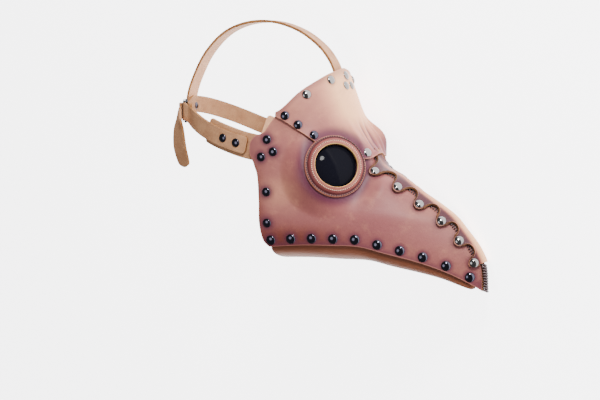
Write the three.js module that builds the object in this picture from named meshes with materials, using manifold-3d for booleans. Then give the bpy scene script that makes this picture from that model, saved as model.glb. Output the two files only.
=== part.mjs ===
// Leather plague doctor mask, lying on the left side of its face.
// It is built upright first (+X forward along the beak, +Y to the wearer's left, +Z up, the origin
// midway between the eyes, in millimetres) and laid down by the last lines of the file.
import * as THREE from 'three';
import Module from 'manifold-3d';
import { mergeVertices } from 'three/addons/utils/BufferGeometryUtils.js';

// Driving dimensions, in millimetres
const LEATHER = 3;             // every panel and strap
const GAP = 1;                 // air between the side panels and the brow panel
const RIDGE_GAP = 1.5;         // air between the side panels and the ridge strip
const PLY = LEATHER + 0.8;     // from one layer to the next where a strap or flange lies under
const CLEARANCE = 0.35;        // round what is held in a hole

const EYE = { x: -5.5, z: -2.8, radius: 24.4, ringRadius: 35.5, rimHeight: 9.4, seatRadius: 21.5 };
const EYE_NORMAL = new THREE.Vector3(0.66, -0.73, 0.26).normalize();
const EYE_BLEND = 15;          // width of the band round a ring where the flat seat turns into the curve

// Double-cap rivets; the post starts inside the cap and the punched hole is a little longer than it
const RIVET = { radius: 4.8, rim: 0.5, height: 2.1, post: 1.8, inCap: 0.8, hole: 2.6, punchedPast: 2 };
// Rivet places seen from the side: [forward, height]
const RIVET_PLACES = {
  browTop: [[-23.5, 93.3], [-39.5, 77.3]],
  seam: [[-58.4, 54], [-44.5, 43.6], [-28.4, 31.6]],
  ear: [[-78.1, 27.3], [-70.8, 13.6], [-85.4, 7.4]],
  cheek: [[-80, -32.4], [-81.2, -68.3]],
};
// The trio at the top of the brow and the pair beside the nose: height and distance from the middle
const BROW_TRIO = { top: 98.2, lower: 86.5, halfWidth: 6.4 };
const NOSE = { height: 10, halfWidth: 16 };
// The row along the lower edge: its first rivet and pitch along X, its height above the edge and how far
// its caps sink into the leather
const LOWER_ROW = { count: 10, first: -78, pitch: 24.55, above: 7.7, sunk: 0.3 };

// Outline of the mask seen exactly from the side, along its middle: [height, forward]
const RIDGE_PROFILE = [
  [-141, 159.5], [-108.4, 156.5], [-97, 151.2], [-87, 144.5], [-72.3, 132], [-58.5, 119], [-46.5, 101],
  [-35, 81.7], [-17.5, 54.5], [-8, 35], [7, 22], [85, -14], [104.5, -21], [113, -25],
];
// Half the breadth of the head and jaw at its widest: [height, half breadth]
const HALF_BREADTH = [
  [-145, 60], [-110, 63], [-90, 66], [-50, 72], [0, 74.5], [62, 77], [85, 75.5], [105, 70], [113, 66.5],
];

// Where the side panels meet along the ridge: their distance from the middle, and the heights at which
// the ridge starts under the brow, turns into the tip and ends
const SEAM = { half: 3, top: 11, bend: -108.4, foot: -139 };

// Ridge strip, measured along the ridge from its upper end: rivets in the lobes (their reach down the side
// at the first and the last), how far a lobe reaches past its rivet and how deep the notches are
const LOBES = { count: 6, first: 15.8, pitch: 31.6, rivets: [20.5, 11.5], reach: 6.4, notch: 5.5 };
const STRIP = { top: 5.4, foot: -108 };
const STRIP_END = { lobes: 172, length: 5.625 * LOBES.pitch, reach: 8 };
const SIDE = { depth: 60, steps: 80 };

// Gusset under the beak: its depth below the panels' edge, [forward, depth]
const GUSSET = { rear: -80, front: 147, flange: 13, bellyShare: 0.66 };
const GUSSET_DEPTH = [[-80, 18.5], [-9, 21], [54, 19], [103, 14.5], [139, 8.5], [147, 6]];

// Straps, along an oval head: half its length and breadth, and its middle
const HEAD = { x: -121, long: 101, half: 77 };
const STRAP = { width: 20, tab: 30 };
// The buckle's place, in degrees round the head from straight ahead, and its prong along the strap
const BUCKLE = { angle: 148, length: 26, width: 27, wire: 3 };
const PRONG = { radius: 1.2, start: 2.2, reach: 27.5 };

// How it lies on the floor, in degrees, one turn after the other
const LYING = { onSide: -90, beakDown: 28.66, browDown: -15.03, heading: 25 };

const LEATHER_COLOURS = { panel: 0xb98579, strap: 0xc09a72, gusset: 0x8a5a3c, ring: 0xb07a6a, strip: 0xa86f66 };

const UP = new THREE.Vector3(0, 0, 1);
const { smoothstep, lerp, clamp, degToRad } = THREE.MathUtils;
const wasm = await Module();
wasm.setup();

// Solids

function solid(geometry) {
  const bare = geometry.clone();
  bare.deleteAttribute('normal');
  bare.deleteAttribute('uv');
  const merged = mergeVertices(bare, 1e-4);
  return new wasm.Manifold(new wasm.Mesh({
    numProp: 3,
    vertProperties: new Float32Array(merged.attributes.position.array),
    triVerts: new Uint32Array(merged.index.array),
  }));
}

function geometryOf(manifold) {
  const { vertProperties, triVerts } = manifold.getMesh();
  const geometry = new THREE.BufferGeometry();
  geometry.setAttribute('position', new THREE.BufferAttribute(new Float32Array(vertProperties), 3));
  geometry.setIndex(new THREE.BufferAttribute(new Uint32Array(triVerts), 1));
  return geometry;
}

function cut(geometry, tools) {
  return geometryOf(tools.reduce((body, tool) => body.subtract(solid(tool)), solid(geometry)));
}

function fuse(geometry, additions) {
  return geometryOf(additions.reduce((body, addition) => body.add(solid(addition)), solid(geometry)));
}

// A grid whose diagonals lean one way left of its middle and the other way right of it, so that a
// sheet over both sides of the face is the same on both
function evenGrid(across, along) {
  const grid = new THREE.PlaneGeometry(1, 1, across, along);
  const faces = [];
  for (let j = 0; j < along; j += 1) {
    for (let i = 0; i < across; i += 1) {
      const a = j * (across + 1) + i;
      const b = a + across + 1;
      if (i < across / 2) faces.push(a, b, a + 1, b, b + 1, a + 1);
      else faces.push(a, b, b + 1, a, b + 1, a + 1);
    }
  }
  grid.setIndex(faces);
  return grid;
}

// A sheet of leather over the surface that pointAt(u, v) gives, from inner to outer along its normal
function sheet(pointAt, across, along, inner, outer) {
  const middle = evenGrid(across, along);
  const place = middle.attributes.position;
  const uv = middle.attributes.uv;
  for (let i = 0; i < place.count; i += 1) {
    const { x, y, z } = pointAt(uv.getX(i), uv.getY(i));
    place.setXYZ(i, x, y, z);
  }
  middle.computeVertexNormals();
  const normal = middle.attributes.normal;
  const vertices = [];
  for (const offset of [outer, inner]) {
    for (let i = 0; i < place.count; i += 1) {
      vertices.push(place.getX(i) + normal.getX(i) * offset);
      vertices.push(place.getY(i) + normal.getY(i) * offset);
      vertices.push(place.getZ(i) + normal.getZ(i) * offset);
    }
  }
  const faces = [...middle.index.array];
  const count = place.count;
  for (let i = 0; i < middle.index.count; i += 3) {
    const [a, b, c] = middle.index.array.slice(i, i + 3);
    faces.push(a + count, c + count, b + count);
  }
  const columns = across + 1;
  const rim = [];
  for (let i = 0; i < across; i += 1) rim.push(i);
  for (let j = 0; j < along; j += 1) rim.push(j * columns + across);
  for (let i = across; i > 0; i -= 1) rim.push(along * columns + i);
  for (let j = along; j > 0; j -= 1) rim.push(j * columns);
  rim.forEach((here, i) => {
    const next = rim[(i + 1) % rim.length];
    faces.push(here, next, next + count, here, next + count, here + count);
  });
  const geometry = new THREE.BufferGeometry();
  geometry.setAttribute('position', new THREE.Float32BufferAttribute(vertices, 3));
  geometry.setIndex(faces);
  return geometry;
}

// The same piece on the wearer's left
function mirrored(geometry) {
  const copy = geometry.clone().scale(1, -1, 1);
  const index = copy.index.array;
  for (let i = 0; i < index.length; i += 3) {
    [index[i + 1], index[i + 2]] = [index[i + 2], index[i + 1]];
  }
  return copy;
}

// A shape built on the +Z axis, moved to a point with that axis along a direction
function at(geometry, point, direction) {
  const turn = new THREE.Quaternion().setFromUnitVectors(UP, direction);
  return geometry.clone().applyQuaternion(turn).translate(point.x, point.y, point.z);
}

// The skin: the outer face of the side panels. A place on it is its turn (0 on the middle line,
// 1 where the head is widest, negative on the right) and its height.

function curveThrough(pairs) {
  const heights = pairs.map(([height]) => height);
  const values = pairs.map(([, value]) => value);
  const curve = new THREE.CubicInterpolant(heights, values, 1, new Float32Array(1));
  const low = heights[0];
  const high = heights[heights.length - 1];
  return (height) => curve.evaluate(clamp(height, low, high))[0];
}

const ridgeAt = curveThrough(RIDGE_PROFILE);
const halfBreadthAt = curveThrough(HALF_BREADTH);
const widestAt = (z) => -93 - 24 * smoothstep(z, 0, 60);
const roundness = (z) => 0.8 - 0.2 * smoothstep(z, -50, 0) - 0.1 * smoothstep(z, 0, 20);
const fullness = (z) => 1.5 + 0.5 * smoothstep(z, -50, 0);

function rawSkin(turn, z) {
  const length = ridgeAt(z) - widestAt(z);
  const share = Math.min(Math.abs(turn), 1);
  const beyond = Math.max(Math.abs(turn) - 1, 0);
  const behind = Math.cos(share * Math.PI / 2);
  const x = ridgeAt(z) - length * (1 - behind + beyond);
  const y = halfBreadthAt(z) * (1 - behind ** fullness(z)) ** roundness(z);
  return new THREE.Vector3(x, Math.sign(turn) * y, z);
}

function turnAt(x, z) {
  const length = ridgeAt(z) - widestAt(z);
  const behind = (x - widestAt(z)) / length;
  return behind >= 0 ? Math.acos(Math.min(behind, 1)) * 2 / Math.PI : 1 - behind;
}

function turnOfHalfWidth(halfWidth, z) {
  const share = (halfWidth / halfBreadthAt(z)) ** (1 / roundness(z));
  return Math.acos((1 - share) ** (1 / fullness(z))) * 2 / Math.PI;
}

const eyeSeat = rawSkin(-turnAt(EYE.x, EYE.z), EYE.z);

// Round each eye the leather is pressed flat as a seat for the ring
function skin(turn, z) {
  const point = rawSkin(turn, z);
  const side = turn > 0 ? -1 : 1;
  const away = new THREE.Vector3(point.x, point.y * side, point.z).sub(eyeSeat);
  const height = away.dot(EYE_NORMAL);
  const reach = away.addScaledVector(EYE_NORMAL, -height).length();
  const press = 1 - smoothstep(reach, EYE.ringRadius, EYE.ringRadius + EYE_BLEND);
  point.x -= EYE_NORMAL.x * height * press;
  point.y -= EYE_NORMAL.y * height * press * side;
  point.z -= EYE_NORMAL.z * height * press;
  return point;
}

// The skin's point and outward normal on the right side, at a place given in the side view
function skinFrame(x, z) {
  const turn = -turnAt(x, z);
  const point = skin(turn, z);
  const step = 0.004;
  const forward = skin(turn + step, z).sub(skin(turn - step, z));
  const upward = skin(turn, z + 0.5).sub(skin(turn, z - 0.5));
  return { point, normal: forward.cross(upward).normalize() };
}

function offSkin(x, z, offset) {
  const { point, normal } = skinFrame(x, z);
  return point.addScaledVector(normal, offset);
}

// Outlines are drawn on the skin, as turn times 100 and height
const TURN_SCALE = 100;
const marked = ([x, z]) => new THREE.Vector2(-turnAt(x, z) * TURN_SCALE, z);
const outline = (places) => new THREE.SplineCurve(places);

// Rivets

const cap = new THREE.LatheGeometry([
  new THREE.Vector2(0, 0),
  new THREE.Vector2(RIVET.radius, RIVET.rim),
  new THREE.Vector2(RIVET.radius * 0.72, RIVET.height * 0.84),
  new THREE.Vector2(0, RIVET.height),
], 8).rotateX(Math.PI / 2);

function post(length, radius) {
  return new THREE.CylinderGeometry(radius, radius, length, 3).rotateX(Math.PI / 2).translate(0, 0, -length / 2);
}

const throughTwo = 2 * PLY + 1;
const rivetBody = fuse(cap, [post(throughTwo, RIVET.post).translate(0, 0, RIVET.inCap)]);
const punch = post(throughTwo + 2 * RIVET.punchedPast, RIVET.hole).translate(0, 0, RIVET.punchedPast);

// A rivet and its hole, its cap on the leather whose outer face is at top
function rivetAt(x, z, top) {
  const { point, normal } = skinFrame(x, z);
  point.addScaledVector(normal, top + CLEARANCE);
  return { body: at(rivetBody, point, normal), hole: at(punch, point, normal) };
}

const OVER = GAP + LEATHER;   // outer face of a layer on top of the side panels
const BELOW = -PLY;           // outer face of a layer under them

const browTopRivets = RIVET_PLACES.browTop.map(([x, z]) => rivetAt(x, z, OVER));
const seamRivets = RIVET_PLACES.seam.map(([x, z]) => rivetAt(x, z, OVER));
const earRivets = RIVET_PLACES.ear.map(([x, z]) => rivetAt(x, z, 0));
const cheekRivets = RIVET_PLACES.cheek.map(([x, z]) => rivetAt(x, z, 0));

// Side panels: cheek and side of the beak, cut from one piece

const lowerEdgePlaces = [
  [-80.5, -96], [-42, -92.6], [-8, -91.8], [24, -92.2], [52.3, -98.9], [84.7, -106.8], [111, -115.5], [143, -131],
];
const lowerEdge = curveThrough(lowerEdgePlaces);
const rearEdgePlaces = [
  [-80.5, -96], [-88, -88], [-91.2, -68], [-90, -40], [-91.3, -13], [-95, -1.5], [-100, 10], [-99.8, 22],
  [-93, 31], [-82, 35.5], [-74, 47], [-64, 61],
];
const hiddenEdgePlaces = [[-64, 61], [-44, 55], [-22, 44], [-4, 33]];

const seamPlace = (z) => new THREE.Vector2(-turnOfHalfWidth(SEAM.half, z) * TURN_SCALE, z);
const ridgePlaces = [];
for (let z = SEAM.top; z > SEAM.bend; z -= 12) ridgePlaces.push(seamPlace(z));

const panelTop = outline([...hiddenEdgePlaces.map(marked), ...ridgePlaces, seamPlace(SEAM.bend)]);
const panelFront = outline([seamPlace(SEAM.foot), seamPlace(-124), seamPlace(SEAM.bend)]);
const panelFoot = outline([...lowerEdgePlaces.map(marked), seamPlace(SEAM.foot)]);
const panelRear = outline(rearEdgePlaces.map(marked));

// A patch stretched between four edges
function patch(foot, top, rear, front) {
  const corners = [foot.getPoint(0), foot.getPoint(1), top.getPoint(0), top.getPoint(1)];
  return (u, v) => {
    const place = new THREE.Vector2();
    place.addScaledVector(foot.getPointAt(u), 1 - v).addScaledVector(top.getPointAt(u), v);
    place.addScaledVector(rear.getPointAt(v), 1 - u).addScaledVector(front.getPointAt(v), u);
    place.addScaledVector(corners[0], -(1 - u) * (1 - v)).addScaledVector(corners[1], -u * (1 - v));
    place.addScaledVector(corners[2], -(1 - u) * v).addScaledVector(corners[3], -u * v);
    return skin(place.x / TURN_SCALE, place.y);
  };
}

const eyeHole = new THREE.CylinderGeometry(EYE.seatRadius, EYE.seatRadius, 40, 20).rotateX(Math.PI / 2);
const sidePanel = sheet(patch(panelFoot, panelTop, panelRear, panelFront), 18, 10, -LEATHER, 0);

// Brow panel: forehead and the tab down the nose, over the side panels

const browTopPlaces = [[-68.8, 58], [-62.1, 62.5], [-47.7, 78.9], [-35.2, 90.9], [-26, 100.5], [-21.8, 105.5]];
const browFootPlaces = [[-68.8, 53.6], [-56.9, 46.7], [-40.4, 34.8], [-26.5, 24.4], [0, 10], [18, 3.6]];
const bothSides = (places, middle) => {
  const right = places.map(marked);
  const left = right.map(({ x, y }) => new THREE.Vector2(-x, y)).reverse();
  return outline([...right, middle, ...left]);
};
const browTop = bothSides(browTopPlaces, new THREE.Vector2(0, 106.3));
const browFoot = bothSides(browFootPlaces, new THREE.Vector2(0, 7.3));

function browPoint(u, v) {
  const place = browFoot.getPoint(u).lerp(browTop.getPoint(u), v);
  return skin(place.x / TURN_SCALE, place.y);
}

const BROW_GRID = [24, 6];
const browSheet = sheet(browPoint, ...BROW_GRID, GAP, OVER);
const browRoom = sheet(browPoint, ...BROW_GRID, GAP - CLEARANCE, OVER);

// Ridge strip: scalloped on both edges, a rivet in each lobe

const ridgeRun = [];
for (let step = 0; step <= 30; step += 1) {
  const z = lerp(STRIP.top, STRIP.foot, step / 30);
  ridgeRun.push(new THREE.Vector3(ridgeAt(z), 0, z));
}
const ridgeLine = new THREE.CatmullRomCurve3(ridgeRun);
const ridgeLength = ridgeLine.getLength();

// The place at a reach down the side of the beak, measured on the skin, from a length along the ridge
function downFromRidge(length, reach) {
  const start = ridgeLine.getPointAt(length / ridgeLength);
  const run = ridgeLine.getTangentAt(length / ridgeLength);
  let last = start;
  let gone = 0;
  for (let step = 1; step <= SIDE.steps; step += 1) {
    const down = SIDE.depth * (step / SIDE.steps) ** 3;
    const x = start.x + run.z * down;
    const z = start.z - run.x * down;
    const next = rawSkin(-turnAt(x, z), z);
    const stride = next.distanceTo(last);
    if (gone + stride >= reach) {
      last.lerp(next, (reach - gone) / stride);
      return [last.x, last.z];
    }
    gone += stride;
    last = next;
  }
  return [last.x, last.z];
}

const alongLobes = (length) => clamp((length - LOBES.first) / (LOBES.pitch * (LOBES.count - 1)), 0, 1);
const rivetReach = (length) => lerp(...LOBES.rivets, alongLobes(length));

function stripReach(length) {
  const wave = Math.cos(2 * Math.PI * (length - LOBES.first) / LOBES.pitch);
  const full = lerp(LOBES.notch, rivetReach(length) + LOBES.reach, smoothstep(wave, -0.8, 0.7));
  const ending = smoothstep(length, STRIP_END.lobes, STRIP_END.length);
  return lerp(full, Math.min(full, STRIP_END.reach), ending);
}

function stripPoint(u, v) {
  const length = lerp(STRIP_END.length, 0, v);
  const across = 2 * u - 1;
  const [x, z] = downFromRidge(length, stripReach(length) * Math.abs(across));
  return Math.abs(across) < 1e-6 ? skin(0, z) : skin(Math.sign(across) * turnAt(x, z), z);
}

const RIDGE_TOP_FACE = RIDGE_GAP + LEATHER;
const STRIP_GRID = [6, 45];
const stripSheet = sheet(stripPoint, ...STRIP_GRID, RIDGE_GAP, RIDGE_TOP_FACE);
const stripRoom = sheet(stripPoint, ...STRIP_GRID, RIDGE_GAP - CLEARANCE, RIDGE_TOP_FACE);
const lobeRivets = [];
for (let lobe = 0; lobe < LOBES.count; lobe += 1) {
  const length = LOBES.first + lobe * LOBES.pitch;
  lobeRivets.push(rivetAt(...downFromRidge(length, rivetReach(length)), RIDGE_TOP_FACE));
}

const placeAtHalfWidth = (halfWidth, z) => [rawSkin(-turnOfHalfWidth(halfWidth, z), z).x, z];
const noseRivets = [rivetAt(...placeAtHalfWidth(NOSE.halfWidth, NOSE.height), OVER)];
const browTrio = [
  rivetAt(ridgeAt(BROW_TRIO.top), BROW_TRIO.top, OVER),
  rivetAt(...placeAtHalfWidth(BROW_TRIO.halfWidth, BROW_TRIO.lower), OVER),
];

// Gusset: closes the underside of the beak, its flanges riveted inside the side panels

const gussetDepth = curveThrough(GUSSET_DEPTH);

function gussetPoint(u, v) {
  const x = lerp(GUSSET.rear, GUSSET.front, v);
  const foot = lowerEdge(x);
  const across = 2 * u - 1;
  const up = Math.max((Math.abs(across) - GUSSET.bellyShare) / (1 - GUSSET.bellyShare), 0) * GUSSET.flange;
  const onPanel = offSkin(x, foot + up, BELOW);
  if (up > 0) return onPanel.setY(-Math.sign(across) * onPanel.y);
  const swing = across / GUSSET.bellyShare * Math.PI / 2;
  const drop = gussetDepth(x) * Math.cos(swing);
  return new THREE.Vector3(onPanel.x, -onPanel.y * Math.sin(swing), onPanel.z - drop);
}

const gussetSheet = sheet(gussetPoint, 12, 12, -LEATHER, 0);
const lowerRow = [];
for (let i = 0; i < LOWER_ROW.count; i += 1) {
  const x = LOWER_ROW.first + i * LOWER_ROW.pitch;
  const { point, normal } = skinFrame(x, lowerEdge(x) + LOWER_ROW.above);
  lowerRow.push(at(cap, point.addScaledVector(normal, -LOWER_ROW.sunk), normal));
}

// Eyepieces: a leather cone sewn round each eye and a domed lens under its rim

const profile = (pairs) => pairs.map(([radius, height]) => new THREE.Vector2(radius, height));
const lathe = (pairs, sides) => new THREE.LatheGeometry(profile(pairs), sides).rotateX(Math.PI / 2);
const { ringRadius, rimHeight, radius: lensRadius } = EYE;
const ringCone = lathe([
  [ringRadius, CLEARANCE],
  [ringRadius, CLEARANCE + LEATHER],
  [ringRadius - 3, CLEARANCE + LEATHER + 1.2],
  [lensRadius + 2, rimHeight],
  [lensRadius + CLEARANCE, rimHeight - 0.4],
  [lensRadius + CLEARANCE, rimHeight - 3],
  [ringRadius - 6, CLEARANCE],
  [ringRadius, CLEARANCE],
], 24);
const lensDome = lathe([
  [0, 4.4], [12, 3.6], [lensRadius - 2, CLEARANCE], [lensRadius, CLEARANCE], [lensRadius, 3.6], [13, 6.6], [0, 7.6],
], 20);
const ring = at(ringCone, eyeSeat, EYE_NORMAL);
const lens = at(lensDome, eyeSeat, EYE_NORMAL);
const eyeCut = at(eyeHole, eyeSeat, EYE_NORMAL);
const ringRoom = (height) => new THREE.CylinderGeometry(ringRadius + GAP, ringRadius + GAP, height, 24)
  .rotateX(Math.PI / 2);
const seatCut = at(ringRoom(12).translate(0, 0, 6), eyeSeat, EYE_NORMAL);
const browCut = at(ringRoom(60), eyeSeat, EYE_NORMAL);

// Straps: ribbons along the head they were worn on. A place has a point, the direction across and a width.

function ribbon(places, steps, inner, outer) {
  const middle = new THREE.CatmullRomCurve3(places.map(({ point }) => point));
  const cross = new THREE.CatmullRomCurve3(places.map(({ across }) => across));
  const width = new THREE.CatmullRomCurve3(places.map((place) => new THREE.Vector3(place.width, 0, 0)));
  const pointAt = (u, v) => {
    const across = cross.getPoint(v).normalize();
    return middle.getPoint(v).addScaledVector(across, (u - 0.5) * width.getPoint(v).x);
  };
  return sheet(pointAt, 2, steps, inner, outer);
}

const strapHeight = curveThrough([
  [-222, 65], [-212, 60], [-192, 50.5], [-162, 37], [-130, 26.5], [-104, 19.5], [-72, 14],
]);

// A place on the head's side at an angle from straight ahead, moved outwards by out
function onHead(degrees, out, width) {
  const angle = degToRad(degrees);
  const normal = new THREE.Vector3(Math.cos(angle) / HEAD.long, -Math.sin(angle) / HEAD.half, 0).normalize();
  const x = HEAD.x + HEAD.long * Math.cos(angle);
  const point = new THREE.Vector3(x, -HEAD.half * Math.sin(angle), strapHeight(x));
  const run = new THREE.Vector3(-Math.sin(angle) * HEAD.long, -Math.cos(angle) * HEAD.half, 0).normalize();
  const slope = (strapHeight(x - 2) - strapHeight(x + 2)) / 4 * -run.x;
  const across = UP.clone().addScaledVector(run, -slope).normalize();
  return { point: point.addScaledVector(normal, out), across, width, normal, run };
}

// Layers counted outwards from the face of the head: the tab, the strap on it
const onTab = -LEATHER / 2;
const underTab = onTab - PLY;

const tabPlaces = [62, 72, 84, 96, 106, 114].map((angle) => onHead(angle, underTab, STRAP.tab));
const strapTab = ribbon(tabPlaces, 8, -LEATHER / 2, LEATHER / 2);

// Right strap: from the ear to the buckle, folded round its bar
const barFrame = onHead(BUCKLE.angle, 0, STRAP.width);
const nearBar = (back, out, up = 0) => barFrame.point.clone()
  .addScaledVector(barFrame.run, back).addScaledVector(barFrame.normal, out).addScaledVector(barFrame.across, up);
const foldRadius = BUCKLE.wire / 2 + CLEARANCE + LEATHER / 2;
const strapFront = [80.5, 92, 104, 116, 128, 140].map((angle) => onHead(angle, onTab, STRAP.width));
const foldPlace = (back, out) => ({ point: nearBar(back, out), across: barFrame.across, width: STRAP.width });
const foldArc = [];
for (let turn = 0; turn <= 6; turn += 1) {
  const angle = Math.PI * turn / 6;
  foldArc.push(foldPlace(foldRadius * Math.sin(angle), foldRadius * Math.cos(angle)));
}
const rightPlaces = [
  ...strapFront,
  foldPlace(-8, foldRadius),
  ...foldArc,
  foldPlace(-8, -foldRadius),
  foldPlace(-16, -foldRadius),
];
const rightStrap = ribbon(rightPlaces, 30, -LEATHER / 2, LEATHER / 2);

// Left strap: from the other ear round the back, inside the buckle's far bar, over its near bar and down
const mirrorPlace = ({ point, across, width }) => ({
  point: point.clone().multiply(new THREE.Vector3(1, -1, 1)),
  across: across.clone().multiply(new THREE.Vector3(1, -1, 1)),
  width,
});
const passed = (back, out, up, across, width) => ({ point: nearBar(back, out, up), across, width });
// Across the hanging end: turned down by a share, and swung out by an angle
const hanging = (share, degrees) => {
  const swung = barFrame.run.clone().applyAxisAngle(UP, degToRad(degrees));
  return barFrame.across.clone().lerp(swung, share).normalize();
};
const leftPlaces = [
  ...[80.5, 92, 104, 116, 128, 140, 152, 164, 176].map((angle) => mirrorPlace(onHead(angle, onTab, STRAP.width))),
  onHead(174, onTab - 1, STRAP.width),
  passed(BUCKLE.length, -foldRadius - 0.4, 0, barFrame.across, STRAP.width),
  passed(BUCKLE.length / 2, 1.6, 0, barFrame.across, STRAP.width),
  passed(0, foldRadius + PLY, 0, barFrame.across, STRAP.width),
  passed(-9, foldRadius + PLY + 1, -2, hanging(0.35, 0), 15),
  passed(-14, foldRadius + PLY + 2.5, -10, hanging(0.75, 8), 15),
  passed(-15, foldRadius + PLY + 3, -24, hanging(1, 28), 18),
  passed(-15, foldRadius + PLY + 1, -45, hanging(1, 38), 19),
  passed(-15, foldRadius + PLY - 4, -64, hanging(1, 42), 16),
  passed(-15, foldRadius + PLY - 6, -70, hanging(1, 42), 8),
];
const leftStrap = ribbon(leftPlaces, 40, -LEATHER / 2, LEATHER / 2);

// Top strap: from under the brow over the head to the rear strap, outside which it ends
const TOP_PLACES = [
  [-13.8, 76], [-22.5, 97], [-31, 116], [-46, 134], [-72, 151.5], [-105, 162], [-140, 162], [-172, 151],
  [-198, 128], [-215, 100], [-224, 76], [-225.2, 54],
];
const topPlaces = TOP_PLACES.map(([x, z]) => ({
  point: new THREE.Vector3(x, 0, z), across: new THREE.Vector3(0, 1, 0), width: STRAP.width,
}));
const topStrap = ribbon(topPlaces, 24, -LEATHER / 2, LEATHER / 2);

// Buckle: a wire frame round the near bar and a prong from it to the far bar

const wire = (length) => new THREE.CylinderGeometry(BUCKLE.wire / 2, BUCKLE.wire / 2, length, 8);
const intoBuckle = new THREE.Matrix4()
  .makeBasis(barFrame.run, barFrame.across, barFrame.normal.clone().negate())
  .setPosition(barFrame.point);
const wires = [
  wire(BUCKLE.width),
  wire(BUCKLE.width).translate(BUCKLE.length, 0, 0),
  wire(BUCKLE.length + BUCKLE.wire).rotateZ(Math.PI / 2).translate(BUCKLE.length / 2, BUCKLE.width / 2, 0),
  wire(BUCKLE.length + BUCKLE.wire).rotateZ(Math.PI / 2).translate(BUCKLE.length / 2, -BUCKLE.width / 2, 0),
];
const buckleWire = fuse(wires[0], wires.slice(1)).applyMatrix4(intoBuckle);

const prongOut = (BUCKLE.wire / 2) + PRONG.radius + CLEARANCE;
const prong = new THREE.CylinderGeometry(PRONG.radius, PRONG.radius * 0.8, PRONG.reach - PRONG.start, 8)
  .rotateZ(Math.PI / 2)
  .translate((PRONG.reach + PRONG.start) / 2, 0, -prongOut)
  .applyMatrix4(intoBuckle);
const slotWidth = 2 * (PRONG.radius + CLEARANCE);
const prongSlot = new THREE.BoxGeometry(PRONG.reach + 4, slotWidth, slotWidth)
  .translate(PRONG.reach / 2, 0, -prongOut)
  .applyMatrix4(intoBuckle);

const straightRivet = (x, z, normalX, normalZ) => {
  const normal = new THREE.Vector3(normalX, 0, normalZ).normalize();
  const point = new THREE.Vector3(x, 0, z).addScaledVector(normal, LEATHER / 2 + CLEARANCE);
  return { body: at(rivetBody, point, normal), hole: at(punch, point, normal) };
};
const rearRivet = straightRivet(-225, 63, -1, 0);

const strapRivetAt = (angle) => {
  const { point, normal } = onHead(angle, CLEARANCE, STRAP.width);
  return { body: at(rivetBody, point, normal), hole: at(punch, point, normal) };
};
const strapRivets = [strapRivetAt(88), strapRivetAt(98)];

// The mask

const mask = new THREE.Group();

function leather(colour) {
  return new THREE.MeshStandardMaterial({ color: colour, roughness: 0.45, metalness: 0 });
}

function piece(name, geometry, material, flip = false) {
  const mesh = new THREE.Mesh(geometry, material);
  mesh.name = name;
  if (flip) mesh.scale.y = -1;
  mask.add(mesh);
}

const metal = new THREE.MeshStandardMaterial({ color: 0x2b2a2c, roughness: 0.25, metalness: 1 });
const glass = new THREE.MeshStandardMaterial({ color: 0x07070a, roughness: 0.08, metalness: 0 });
const panelLeather = leather(LEATHER_COLOURS.panel);
const strapLeather = leather(LEATHER_COLOURS.strap);

const holesOf = (rivets) => rivets.map(({ hole }) => hole);
const sideHoles = holesOf([...earRivets, ...cheekRivets, ...seamRivets, ...lobeRivets, ...noseRivets]);
const panelRooms = [eyeCut, seatCut, browRoom, stripRoom];
const rightPanel = fuse(cut(sidePanel, [...sideHoles, ...panelRooms]), lowerRow);
piece('side_panel_right', rightPanel, panelLeather);
piece('side_panel_left', rightPanel, panelLeather, true);

const browRivets = [...browTopRivets, ...seamRivets, ...noseRivets, browTrio[1]];
const leftHoles = holesOf(browRivets).map(mirrored);
piece('brow_panel', cut(browSheet, [
  ...holesOf(browRivets), ...leftHoles, browTrio[0].hole, browCut, mirrored(browCut),
]), panelLeather);

const stripHoles = holesOf(lobeRivets);
piece('ridge_strip', cut(stripSheet, [...stripHoles, ...stripHoles.map(mirrored)]), leather(LEATHER_COLOURS.strip));

piece('beak_gusset', gussetSheet, leather(LEATHER_COLOURS.gusset));

const tab = cut(strapTab, holesOf([...earRivets, ...strapRivets]));
for (const [side, flip] of [['right', false], ['left', true]]) {
  piece(`eye_ring_${side}`, ring, leather(LEATHER_COLOURS.ring), flip);
  piece(`lens_${side}`, lens, glass, flip);
  piece(`strap_tab_${side}`, tab, strapLeather, flip);
  browTopRivets.forEach(({ body }, i) => piece(`rivet_brow_top_${side}_${i + 1}`, body, metal, flip));
  seamRivets.forEach(({ body }, i) => piece(`rivet_seam_${side}_${i + 1}`, body, metal, flip));
  earRivets.forEach(({ body }, i) => piece(`rivet_ear_${side}_${i + 1}`, body, metal, flip));
  strapRivets.forEach(({ body }, i) => piece(`rivet_strap_${side}_${i + 1}`, body, metal, flip));
  cheekRivets.forEach(({ body }, i) => piece(`rivet_cheek_${side}_${i + 1}`, body, metal, flip));
  lobeRivets.forEach(({ body }, i) => piece(`rivet_lobe_${side}_${i + 1}`, body, metal, flip));
  noseRivets.forEach(({ body }) => piece(`rivet_nose_${side}`, body, metal, flip));
}
piece('rivet_brow_middle', browTrio[0].body, metal);
piece('rivet_brow_right', browTrio[1].body, metal);
piece('rivet_brow_left', browTrio[1].body, metal, true);
piece('rivet_rear', rearRivet.body, metal);

const strapHoles = holesOf(strapRivets);
piece('side_strap_right', cut(rightStrap, [...strapHoles, prongSlot]), strapLeather);
piece('side_strap_left', cut(leftStrap, [...strapHoles.map(mirrored), rearRivet.hole, prongSlot]), strapLeather);
const trioHoles = [browTrio[0].hole, browTrio[1].hole, mirrored(browTrio[1].hole)];
piece('top_strap', cut(topStrap, [...trioHoles, rearRivet.hole]), strapLeather);
piece('buckle_frame', buckleWire, metal);
piece('buckle_prong', prong, metal);

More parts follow.
